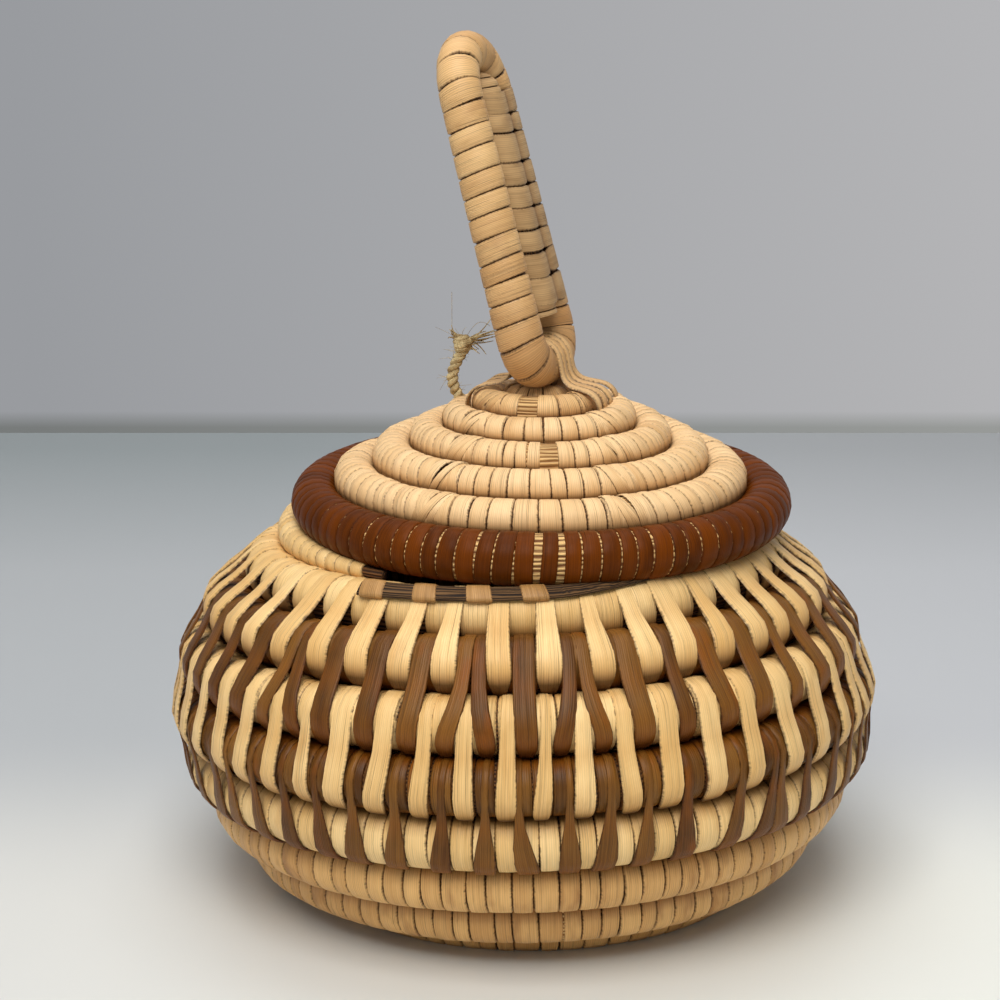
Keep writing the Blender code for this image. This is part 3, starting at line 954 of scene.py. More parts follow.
@dataclass
class BasketBody:
    """The base and the wall: one rope that winds up from the middle of the base to the mouth."""

    rope_radius: float = 5.75 * MM
    pitch: float = 12.08 * MM
    base_edge: float = 49.7 * MM
    core_sink: float = 0.36 * MM
    lean_turns: tuple[float, ...] = (-4.0, -0.5, 0.5, 1.5, 2.5, 3.5, 4.5, 5.5, 6.5, 7.5)
    lean_degrees: tuple[float, ...] = (0.0, 0.0, 33.0, 55.5, 63.5, 81.0, 105.6, 121.0, 144.6, 138.0)
    rows: tuple[BodyRow, ...] = (
        BodyRow("base_edge_coil", Leaf.HONEY, 75),
        BodyRow("foot_coil", Leaf.HONEY, 92),
        BodyRow("lower_coil", Leaf.HONEY, 105),
        BodyRow("lower_pale_coil", Leaf.CREAM, 112, tucked=True),
        BodyRow("belly_brown_coil", Leaf.BROWN, 84, -0.18 * MM, 0.95, tucked=True),
        BodyRow("belly_pale_coil", Leaf.CREAM, 84, -0.18 * MM, 0.95),
        BodyRow("shoulder_brown_coil", Leaf.BROWN, 84, -0.18 * MM, 0.95),
    )
    bindings: tuple[Binding, ...] = (
        Binding(6, "shoulder_brown_coil", Leaf.BROWN, 53, 69.0 * MM, 4.1 * MM),
        Binding(5, "belly_pale_coil", Leaf.CREAM, 57, 75.5 * MM, 4.5 * MM),
        Binding(4, "belly_brown_coil", Leaf.BROWN, 60, 79.0 * MM, 4.7 * MM, 0.4, 1.5 * MM, 2.2 * MM, 0.45, 0.0),
    )
    # Row, node, and where each bared stretch starts and ends, in turns about the front.
    patches: tuple[tuple[int, str, float, float], ...] = (
        (2, "lower_coil", -0.0005, 0.0025), (1, "foot_coil", 0.018, 0.0225),
    )
    line: RopeLine = field(init=False)

    def __post_init__(self) -> None:
        """Works out the rope's line."""
        turns = np.linspace(self.lean_turns[0] - 1, self.lean_turns[-1] + 1, 4000)
        lean = np.radians(np.interp(turns, self.lean_turns, self.lean_degrees))
        step = self.pitch * np.gradient(turns)
        out = np.cumsum(np.cos(lean) * step)
        up = np.cumsum(np.sin(lean) * step)
        out += self.base_edge - np.interp(0.0, turns, out)
        up += self.rope_radius * 0.8 - up[0]
        angle = TAU * turns - math.pi / 2
        radial = np.column_stack([np.cos(angle), np.sin(angle), np.zeros(len(angle))])
        centres = radial * out[:, None] + np.column_stack([0 * up, 0 * up, up])
        kept = out > 4 * MM
        radii = np.full(kept.sum(), self.rope_radius)
        self.line = rope_line(turns[kept], centres[kept], radial[kept], radii)

    def stitches(self, name: str, row: int, tops: Array, bottoms: Array, upper: Array, lower: Array,
                 seed: int) -> bpy.types.Object:
        """Lays strips that bind a row to the row below it.

        Args:
            name: The piece's name.
            row: The upper row's turn count.
            tops: Where each strip lies on the upper row, in turns.
            bottoms: Where it goes under the lower row.
            upper: Each strip's width on the upper row, in metres.
            lower: Its width on the lower row.
            seed: For the random shades.

        Returns:
            The piece.
        """
        piece = strip_template(name, len(tops), len(STITCH_STEPS) - 1, 0.24 * MM)
        number, x, t, z = strip_numbers(piece)
        t = np.interp(t, np.linspace(0, 1, len(STITCH_STEPS)), STITCH_STEPS)
        dice = np.random.default_rng(seed)
        chance, other = dice.random(len(tops)), dice.random(len(tops))
        down_share = np.interp(t, (0.45, 0.56), (0, 1))
        size = upper[number] * (1 - down_share) + lower[number] * down_share
        size = size * np.interp(t, STITCH_PLACES, STITCH_WIDTHS)
        sway = np.interp(t, *zip(*STITCH_SWAY))
        sway = sway * sway * (3 - 2 * sway)
        middle = tops[number] + (bottoms - tops)[number] * sway + row
        speed = self.line.at(middle)[4] * 1.09
        mark = middle + x * size / 2 / speed
        own = self.line.at(mark)[0]
        below = self.line.at(mark - 1)[0]
        down = unit(below - own)
        angle = TAU * mark - math.pi / 2
        radial = np.column_stack([np.cos(angle), np.sin(angle), np.zeros(len(angle))])
        fall, rise = (down * radial).sum(axis=1), down[:, 2]
        normal = radial * -rise[:, None] + np.column_stack([0 * fall, 0 * fall, fall])
        lifts = dice.random(len(tops)) * 0.12 * MM
        over = self.rope_radius + 0.2 * MM + z + lifts[number]
        under = self.rope_radius + 0.68 * MM + z + lifts[number]
        turn_up = math.pi * (1 - t / 0.4)
        turn_down = -math.pi * (t - 0.55) / 0.4
        first = own + (np.cos(turn_up)[:, None] * normal - np.sin(turn_up)[:, None] * down) * over[:, None]
        last = below + (np.cos(turn_down)[:, None] * normal - np.sin(turn_down)[:, None] * down) * under[:, None]
        share = np.clip((t - 0.4) / 0.15, 0, 1)
        dip = 0.16 * MM * np.sin(math.pi * share)**2
        front = own * (1 - share)[:, None] + below * share[:, None]
        rise_share = np.clip((t - 0.46) / 0.1, 0, 1)
        front = front + normal * (over + (under - over) * rise_share - dip)[:, None]
        points = np.where((t < 0.4)[:, None], first, front)
        points = np.where((t > 0.55)[:, None], last, points)
        move_points(piece, points)
        facing = np.interp(t, (0, 0.4, 0.55, 0.95, 1), (math.pi, 0, 0, -math.pi, -math.pi))
        note(piece, "lay", x * size / 2 / MM, t * 55.0, chance[number])
        # Painted shade where the strip goes into the grooves above and below its rows.
        groove_shade = np.interp(t, (0, 0.12, 0.22, 0.42, 0.475, 0.53, 0.62, 0.7, 1), (1, 0.9, 0.2, 0, 0.3, 0, 0.25, 1, 1))
        note(piece, "wear", np.abs(x), groove_shade, other[number])
        close_up(piece, np.cos(facing)[:, None] * normal)
        return piece

    def build_base(self) -> None:
        """Models the knot and the flat spiral of the base."""
        slot = "core_grass"
        top = self.rope_radius * 1.8
        marks = np.linspace(0.0, top - 0.05 * MM, 12)
        centres = np.column_stack([0 * marks, 0 * marks, marks + 0.05 * MM])
        ways = np.tile((1.0, 0.0, 0.0), (len(marks), 1))
        knot = rope_line(marks, centres, ways, np.full(len(marks), 2.1 * MM))
        dress(lay_core("base_knot", knot, 0.0, marks[-1], 6, 0.0), GrassFinish(slot, slot), "basket", "base_core")
        line = self.line
        start = float(np.interp(8.2 * MM, np.hypot(*line.centres[:1600, :2].T), line.marks[:1600]))
        core = lay_core("base_grass", line, start, -0.5, 150, self.core_sink, True)
        dress(core, GrassFinish("base_grass", "base_palm"), "basket", "base_spiral")
        middles: list[Array] = []
        halves: list[Array] = []
        for turn in range(math.floor(start), 0):
            low, high = max(start, turn), min(-0.5, turn + 1)
            if high - low < 0.02:
                continue
            speed = float(line.at(np.array([(low + high) / 2]))[4][0])
            made = even(low, high, speed / (4.7 * MM), turn + 20)
            middles.append(made[0])
            halves.append(made[1] * 0.97)
        place = np.concatenate(middles)
        half = np.concatenate(halves)
        strips = Strips(place, half, np.zeros(len(place)), np.full(len(place), 0.1 * MM), 5, True)
        dress(lay_wraps("base_wraps", line, strips), Leaf.HONEY.finish("base_palm"), "basket", "base_spiral")

    def facing(self, turn: float) -> float:
        """Which way the open side of a row faces, in radians up from outwards."""
        return math.radians(float(np.interp(turn, self.lean_turns, self.lean_degrees)) - 90.0)

    def build_row(self, turn: int, row: BodyRow, under: Optional[Array] = None) -> None:
        """Models the core and the wrapping of one turn.

        Args:
            turn: The row's turn count.
            row: The row.
            under: The places of the strips that come down over it, which some of its wraps lie under.
        """
        slot = row.node + "_palm"
        floor = turn == 0
        core = lay_core(row.node + "_grass", self.line, turn - 0.5, turn + 0.5, 72, self.core_sink, floor)
        dress(core, GrassFinish(row.node + "_grass", slot), "basket", row.node)
        if under is None:
            middles, halves = even(-0.5, 0.5, row.wraps, 30 + turn, 0.26)
        else:
            middles, halves = paired(under)
        middles = middles + turn
        dice = np.random.default_rng(60 + turn)
        slants = (dice.random(len(middles)) - 0.4) * row.slant
        lifts = row.lift + dice.random(len(middles)) * 0.14 * MM
        strips = Strips(middles, halves * row.cover, slants, lifts, 90 + turn, floor, self.facing(turn))
        wraps = lay_wraps(row.node + "_wraps", self.line, strips)
        dress(wraps, row.leaf.finish(slot), "basket", row.node)

    def build_patches(self) -> None:
        """Models bared stretches of pale grass, where two stitches part."""
        for index, (turn, node, start, end) in enumerate(self.patches):
            piece = lay_core(node + f"_bared_{index}", self.line, turn + start, turn + end, 3, -0.02 * MM, False, 16)
            finish = GrassFinish("bared_" + node, node + "_palm", tone(246, 210, 148), tone(140, 92, 44), 1.0)
            dress(piece, finish, "basket", node)

    def build_mouth(self) -> Array:
        """Models the top row: short wraps, and between them the long ones that bind it to the row below.

        Returns:
            The bottoms of the long strips, in turns about the front.
        """
        node, slot = "mouth_coil", "mouth_coil_palm"
        core = lay_core(node + "_grass", self.line, 6.5, 7.5, 72, self.core_sink)
        dress(core, GrassFinish(node + "_grass", slot), "basket", node)
        middles, halves = even(-0.5, 0.5, 90, 41, 0.24)
        short = Strips(middles[::2] + 7, halves[::2] * 1.4, np.full(45, 0.3 * MM), np.full(45, -0.08 * MM), 42,
                       False, self.facing(7))
        dress(lay_wraps(node + "_wraps", self.line, short), Leaf.CREAM.finish(slot), "basket", node)
        tops = middles[1::2]
        bottoms = relax(tops, 0.8, 0.1, 43)
        upper = halves[1::2] * 2 * float(self.line.at(np.array([7.0]))[4][0]) * 1.05
        dice = np.random.default_rng(47)
        lower = (4.5 + 0.5 * (dice.random(45) - 0.5)) * MM
        made = self.stitches("mouth_coil_stitches", 7, tops, bottoms, upper, lower, 44)
        dress(made, Leaf.CREAM.finish(slot), "basket", node)
        return bottoms

    def build_wall(self) -> None:
        """Models the wall from the base's edge to the mouth."""
        bottoms = self.build_mouth()
        under: dict[int, Array] = {}
        above = 4.7 * MM
        for plan in self.bindings:
            around = TAU * plan.girth
            tops, rooms = between(bottoms, plan.count, above / around)
            upper = np.clip(rooms * around * plan.fill, plan.least, plan.most)
            dice = np.random.default_rng(70 + plan.turn)
            tops = tops + (dice.random(plan.count) - 0.5) * plan.wander / plan.count
            order = np.argsort(tops)
            tops, upper = tops[order], upper[order]
            bottoms = relax(tops, 0.6, 0.14, 50 + plan.turn)
            lower = plan.width * (0.9 + 0.2 * dice.random(plan.count))
            lower = lower * (1 - plan.steady) + upper * plan.steady
            made = self.stitches(plan.node + "_stitches", plan.turn, tops, bottoms, upper, lower, 80 + plan.turn)
            dress(made, plan.leaf.finish(plan.node + "_palm"), "basket", plan.node)
            under[plan.turn - 1] = bottoms
            above = plan.width * 1.08
        for turn, row in enumerate(self.rows):
            self.build_row(turn, row, under.get(turn) if row.tucked else None)
        self.build_patches()

    def tail_line(self) -> RopeLine:
        """The rope's last part turn, wedged between the row below and the lid's rim."""
        marks = np.linspace(7.45, 7.92, 120)
        centres, outs, ups, radii, speeds = self.line.at(marks)
        below = self.line.at(marks - 1)[0]
        angle = TAU * marks - math.pi / 2
        radial = np.column_stack([np.cos(angle), np.sin(angle), np.zeros(len(angle))])
        rim = LidShape().rim_at(angle)
        away = rim - below
        length = np.linalg.norm(away, axis=1)
        room = np.minimum(self.rope_radius, (length - self.rope_radius - 5.1 * MM - 1.16 * MM) / 2)
        thin = room * np.interp(marks, (7.45, 7.8, 7.92), (1.0, 1.0, 0.8))
        shift = np.interp(marks, (7.25, 7.5), (0.0, 1.0))[:, None]
        wedge = below + unit(away) * (self.rope_radius + 0.58 * MM + room)[:, None]
        return rope_line(marks, centres * (1 - shift) + wedge * shift, radial, thin)

    def build_tail(self) -> None:
        """Models the rope's thinning end, which slips in under the lid's rim."""
        node, slot = "mouth_tail", "tail_palm"
        line = self.tail_line()
        core = lay_core(node + "_grass", line, 7.5, 7.9, 40, 0.1 * MM)
        dress(core, GrassFinish(node + "_grass", slot), "basket", node)
        middles, halves = even(7.5, 7.885, 84, 45, 0.25)
        count = len(middles)
        strips = Strips(middles, halves * 0.97, np.full(count, 0.5 * MM), np.full(count, 0.12 * MM), 46)
        dress(lay_wraps(node + "_wraps", line, strips), Leaf.CREAM.finish(slot), "basket", node)
        self.build_straw()

    def build_straw(self) -> None:
        """Models the flat dark bundle of bare stems that runs on from the rope's end, under the rim."""
        marks = np.linspace(6.9, 7.09, 80)
        own = self.line.at(marks)[0]
        angle = TAU * marks - math.pi / 2
        radial = np.column_stack([np.cos(angle), np.sin(angle), np.zeros(len(angle))])
        upright = np.tile((0.0, 0.0, 1.0), (len(marks), 1))
        lean = np.radians(np.interp(marks, (6.84, 6.92, 7.02, 7.09), (48.0, 54.0, 60.0, 84.0)))[:, None]
        away = radial * np.cos(lean) + upright * np.sin(lean)
        radius = np.interp(marks, (6.84, 6.92, 7.04, 7.09), (2.3, 2.0, 1.8, 0.9)) * MM
        centres = own + away * (self.rope_radius + 0.42 * MM + radius * 0.3)[:, None]
        line = rope_line(marks, centres, away, radius)
        line.flat = 0.3
        core = lay_core("mouth_straw", line, 6.905, 7.085, 46, 0.0)
        finish = GrassFinish("dark_straw", "tail_palm", tone(118, 86, 52), tone(30, 17, 9), 0.75)
        dress(core, finish, "basket", "mouth_tail")
        middles = np.array([6.913, 6.944, 6.974, 7.004])
        halves = np.array([2.4, 2.2, 2.3, 2.4]) * MM / float(line.at(np.array([7.0]))[4][0])
        strips = Strips(middles, halves * 1.15, np.full(4, 0.6 * MM), np.full(4, 0.1 * MM), 48)
        finish = PalmFinish("shaded_tail_palm", "tail_palm", tone(196, 150, 92), tone(150, 108, 58),
                            tone(120, 78, 36), tone(110, 72, 32), 0.5)
        dress(lay_wraps("mouth_straw_wraps", line, strips, 14), finish, "basket", "mouth_tail")

    def build(self) -> None:
        """Models and dresses the whole body."""
        self.build_base()
        self.build_wall()
        self.build_tail()


# The lid.

@dataclass
class LidShape:
    """The lid's ropes: a rim on the mouth, and a rope that winds up from it to the crown."""

    rim_rope: float = 5.1 * MM
    rim_ring: float = 50.6 * MM
    upper_ring: float = 11.3 * MM
    crown_rope: float = 3.35 * MM
    right: float = 3.9 * MM
    forward: float = 2.0 * MM
    height: float = 87.694 * MM
    tilt: float = math.radians(3.1)
    slope: float = math.radians(29.0)
    crown_slope: float = math.radians(5.0)
    turns: int = 6
    slope_turns: int = 5
    first: float = 0.56
    last: float = 6.28
    gap: float = 0.58 * MM
    step_powers: tuple[float, ...] = (3.0, 3.0, 3.0, 2.4, 1.9, 1.5)

    def place(self) -> Matrix:
        """Where the level lid is set down."""
        shift = Matrix.Translation((self.right, -self.forward, self.height))
        return shift @ Matrix.Rotation(self.tilt, 4, "X")

    def set_down(self, points: Array) -> Array:
        """Moves points of the level lid to where it rests."""
        spot = np.array(self.place())
        return points @ spot[:3, :3].T + spot[:3, 3]

    def rim_at(self, angle: Array) -> Array:
        """The middle of the rim's rope at some angles."""
        level = np.column_stack([np.cos(angle), np.sin(angle), 0 * angle]) * self.rim_ring
        return self.set_down(level)

    def rope_radius(self, step: Array) -> Array:
        """The rope's radius at a row count."""
        slope = (self.rim_ring - self.upper_ring) / math.cos(self.slope)
        rows = slope - self.rim_rope - self.slope_turns * (self.gap + self.crown_rope)
        start = rows / (self.slope_turns - 1)
        return start + (self.crown_rope - start) * np.minimum(step, self.slope_turns) / self.slope_turns

    def reach(self, step: Array) -> tuple[Array, Array]:
        """How far up the slope a row lies from the rim, and how far on over the flatter crown."""
        start = self.rope_radius(0.0)
        sloped = np.minimum(step, self.slope_turns)
        reach = np.minimum(step, 1) * (self.rim_rope - start) + sloped * (start + self.rope_radius(step) + self.gap)
        return reach, (step - sloped) * (2 * self.crown_rope + self.gap)

    def step(self, turn: Array) -> Array:
        """The row count at a turn count: rows lie level in front and step inwards at the back."""
        turn = np.clip(turn, 0.0, self.turns)
        row = np.minimum(turn.astype(int), self.turns - 1)
        power = np.array(self.step_powers)[row]
        lead, rest = (turn - row)**power, (row + 1 - turn)**power
        return row + lead / (lead + rest)

    def level_point(self, turn: Array, angle: Array) -> Array:
        """A point of the rope of the level lid."""
        reach, over = self.reach(self.step(turn))
        radius = self.rim_ring - reach * math.cos(self.slope) - over * math.cos(self.crown_slope)
        height = reach * math.sin(self.slope) + over * math.sin(self.crown_slope)
        return np.column_stack([radius * np.cos(angle), radius * np.sin(angle), height])

    def room(self, turn: Array) -> Array:
        """The rope's radius at each turn count, as thin as its neighbours leave it."""
        angle = TAU * turn - math.pi / 2
        here = self.level_point(turn, angle)
        size = self.rope_radius(self.step(turn))
        rim = np.linalg.norm(here - self.level_point(0 * turn, angle), axis=1) - self.rim_rope - self.gap
        lower = (np.linalg.norm(here - self.level_point(turn - 1, angle), axis=1) - self.gap) / 2
        upper = (np.linalg.norm(here - self.level_point(turn + 1, angle), axis=1) - self.gap) / 2
        size = np.minimum(size, np.where(turn < self.first + 1, rim, lower))
        return np.where(turn + 1 < self.last, np.minimum(size, upper), size)

    def coil_line(self) -> RopeLine:
        """The rope that winds from the rim to the crown."""
        turn = np.linspace(self.first - 0.05, self.last + 0.02, 1700)
        angle = TAU * turn - math.pi / 2
        centres = self.set_down(self.level_point(turn, angle))
        ways = np.column_stack([np.cos(angle), np.sin(angle), 0 * angle + 0.25])
        return rope_line(turn, centres, ways, self.room(turn))

    def ring_line(self, radius: float, height: float, rope: float) -> RopeLine:
        """A level ring of rope."""
        turn = np.linspace(-1.2, 1.7, 1200)
        angle = TAU * turn - math.pi / 2
        level = np.column_stack([np.cos(angle) * radius, np.sin(angle) * radius, 0 * angle + height])
        ways = np.column_stack([np.cos(angle), np.sin(angle), 0 * angle])
        return rope_line(turn, self.set_down(level), ways, np.full(len(turn), rope))


@dataclass
class BasketLid:
    """The lid with its dyed rim, its turns of pale rope and the strands that hold the handle."""

    shape: LidShape = field(default_factory=LidShape)
    nodes: tuple[str, ...] = ("lid_first_coil", "lid_second_coil", "lid_third_coil", "lid_fourth_coil",
                              "lid_fifth_coil", "crown_coil")
    # Row, and where a bared stretch of its grass starts and ends, in turns about the front.
    bared: tuple[tuple[int, float, float], ...] = (
        (1, 0.066, 0.076), (3, -0.006, 0.010), (5, -0.046, -0.012))
    # Wraps for each turn in the neat front part, and beside it.
    front_wraps: tuple[int, ...] = (62, 60, 56, 30, 19, 11)
    side_wraps: tuple[int, ...] = (88, 76, 64, 44, 26, 14)
    # For each strand: its place on the foot, at its two ends, and half its width, in mm.
    lacing: tuple[tuple[float, float, float, float], ...] = (
        (1.45, 2.6, 2.2, 1.15), (3.95, 7.4, 7.0, 1.2))
    front_parts: tuple[tuple[float, float], ...] = (
        (-0.088, 0.062), (-0.1, 0.072), (-0.108, 0.09), (-0.13, 0.125), (-0.16, 0.16), (-0.25, 0.25))

    def build_rim(self) -> None:
        """Models the dyed rim: pale underlay and satin strips with thin pale seams."""
        node, slot = "lid_rim_coil", "rim_palm"
        line = self.shape.ring_line(self.shape.rim_ring, 0.0, self.shape.rim_rope)
        core = lay_core(node + "_underlay", line, -0.13, 0.87, 100, -0.16 * MM)
        finish = GrassFinish("rim_underlay", slot, tone(240, 200, 134), tone(104, 62, 28), 1.15)
        dress(core, finish, "lid", node)
        left, right = even(-0.13, -0.0069, 88, 10, 0.16), even(0.0105, 0.87, 88, 11, 0.16)
        middles = np.concatenate([left[0], [0.0018], right[0]])
        halves = np.concatenate([left[1] * 0.955, [0.0049], right[1] * 0.955])
        dice = np.random.default_rng(12)
        slants = -(dice.random(len(middles)) * 0.8 + 0.3) * MM
        lifts = dice.random(len(middles)) * 0.1 * MM + 0.22 * MM
        strips = Strips(middles, halves, slants, lifts, 13)
        dress(lay_wraps(node + "_wraps", line, strips, 18), Leaf.RIM_BROWN.finish(slot), "lid", node)

    def build_flange(self) -> None:
        """Models the bare locating turn under the rim."""
        node, slot = "lid_flange_coil", "flange_grass"
        reach, drop = 5.1 * MM + 3.6 * MM + 0.35 * MM, math.radians(27.0)
        radius = self.shape.rim_ring - reach * math.cos(drop)
        line = self.shape.ring_line(radius, -reach * math.sin(drop), 3.6 * MM)
        core = lay_core(node + "_grass", line, 0.5, 1.5, 80, 0.15 * MM)
        dress(core, GrassFinish(slot, slot), "lid", node)
        middles, halves = even(0.5, 1.5, 44, 14, 0.3)
        strips = Strips(middles, halves * 0.55, np.full(len(middles), 1.5 * MM), np.zeros(len(middles)), 15)
        dress(lay_wraps(node + "_wraps", line, strips, 14), Leaf.TAN.finish(slot), "lid", node)

    def build_rows(self) -> None:
        """Models the turns from the rim to the crown."""
        line = self.shape.coil_line()
        for index, node in enumerate(self.nodes):
            row = index + 1
            start, end = max(row - 0.5, self.shape.first), min(row + 0.5, self.shape.last)
            slot = node + "_palm"
            core = lay_core(node + "_grass", line, start, end, 60, 0.3 * MM)
            dress(core, GrassFinish(node + "_grass", slot), "lid", node)
            left, right = (row + share for share in self.front_parts[index])
            parts = ((start, left, self.side_wraps[index], 1.7), (left, right, self.front_wraps[index], 0.2),
                     (right, end, self.side_wraps[index], 1.7))
            middles, halves, slants, lifts = [], [], [], []
            dice = np.random.default_rng(20 + row)
            for low, high, count, slant in parts:
                if high - low < 0.02:
                    continue
                middle, half = even(low, high, count, 25 + row, 0.2)
                middles.append(middle)
                halves.append(half * 0.97)
                slants.append((slant + (dice.random(len(middle)) - 0.5) * 0.8) * MM)
                lifts.append((0.06 + dice.random(len(middle)) * (0.05 + slant * 0.12)) * MM)
            table = [np.concatenate(part) for part in (middles, halves, slants, lifts)]
            if row < 6:
                speed = float(line.at(np.array([float(row)]))[4][0])
                apart = np.minimum(np.abs(table[0] - left), np.abs(table[0] - right)) * speed
                table = [part[apart > 1.3 * MM] for part in table]
            for bared_row, low, high in self.bared:
                if bared_row == row:
                    kept = (table[0] < row + low) | (table[0] > row + high)
                    table = [part[kept] for part in table]
                    patch = lay_core(node + "_bared", line, row + low - 0.02, row + high + 0.02, 6, -0.02 * MM)
                    finish = GrassFinish("bared_" + node, slot, tone(236, 196, 136), tone(132, 88, 44), 0.95)
                    dress(patch, finish, "lid", node)
            facing = math.radians(61.0 if row < 6 else 80.0)
            strips = Strips(*table, 35 + row, facing=facing, groove_shade_from=0.82)
            wraps = lay_wraps(node + "_wraps", line, strips, 16)
            leaf = Leaf.PALE if row < 5 else Leaf.TAN
            dress(wraps, leaf.finish(slot), "lid", node)
            if row < 6:
                self.cross(line, row, left, right, leaf)

    def cross(self, line: RopeLine, row: int, left: float, right: float, leaf: Leaf) -> None:
        """Models the loose strips that cross where the neat front part of a row ends.

        Args:
            line: The lid's rope.
            row: The row.
            left: Where the front part starts, in turns.
            right: Where it ends.
            leaf: The row's dye.
        """
        node = self.nodes[row - 1]
        dice = np.random.default_rng(130 + row)
        speed = float(line.at(np.array([float(row)]))[4][0])
        shifts = np.array((-2.4, -0.8, 0.7, 2.3))
        middles = np.concatenate([left + shifts * MM / speed, right + shifts * MM / speed])
        middles += (dice.random(len(middles)) - 0.5) * 1.0 * MM / speed
        halves = (0.75 + 0.35 * dice.random(len(middles))) * MM / speed
        slants = np.array((-2.4, -4.8, -3.2, 1.4, 0.8, 3.6, 5.2, 2.6)) * MM
        lifts = dice.permutation(np.linspace(0.16, 0.62, len(middles))) * MM
        strips = Strips(middles, halves, slants, lifts, 140 + row, facing=math.radians(61.0))
        wraps = lay_wraps(node + "_crossed", line, strips, 18, 0.16 * MM)
        dress(wraps, leaf.finish(node + "_palm"), "lid", node)

    def build_lacing(self, handle: "HandleShape") -> None:
        """Models the flat strands that pass over the loop's foot and tie it to the crown."""
        spot = np.array(handle.foot())
        bend = handle.foot_rope + 0.5 * MM
        low = (-handle.foot_rope - handle.clearance) / MM
        side = np.array(((14.9, low - 5.8), (15.3, low - 4.0), (15.0, low - 2.3), (14.0, low - 1.0),
                         (12.6, low - 0.2), (10.6, low + 0.2), (8.6, low + 0.5), (7.2, low + 1.1),
                         (6.2, low + 2.3), (5.7, -1.4))) * MM
        arc = np.linspace(0.1, math.pi - 0.1, 9)
        over = np.column_stack([bend * np.cos(arc), bend * np.sin(arc)])
        track = rounded(np.concatenate([side, over, side[::-1] * (-1, 1)]))
        steps = np.linspace(0, 1, len(track))
        for name, along, seed in (("lacing_front", -1.0, 51), ("lacing_back", 1.0, 52)):
            paths, ups, halves = [], [], []
            for near, left, right, half in self.lacing:
                sway = np.interp(steps, (0, 0.3, 0.5, 0.7, 1), (right, near, near, near, left)) * along * MM
                local = np.column_stack([sway, -track[:, 0], track[:, 1] + near * 0.05 * MM])
                run = np.gradient(track, axis=0)
                way = np.column_stack([0 * sway, -run[:, 1], -run[:, 0]])
                paths.append(local @ spot[:3, :3].T + spot[:3, 3])
                ups.append(way @ spot[:3, :3].T)
                halves.append(np.interp(steps, (0, 0.25, 0.5, 0.75, 1), (1.0, 1.0, 0.8, 1.0, 1.0)) * half * MM)
            piece = lay_ribbon(name + "_strands", paths, ups, halves, seed=seed)
            dress(piece, Leaf.TAN.finish(name + "_palm"), "lid", name)

    def build(self, handle: "HandleShape") -> None:
        """Models and dresses the whole lid.

        Args:
            handle: The shape of the loop that the lid carries.
        """
        self.build_rim()
        self.build_flange()
        self.build_rows()
        self.build_lacing(handle)


# The handle.

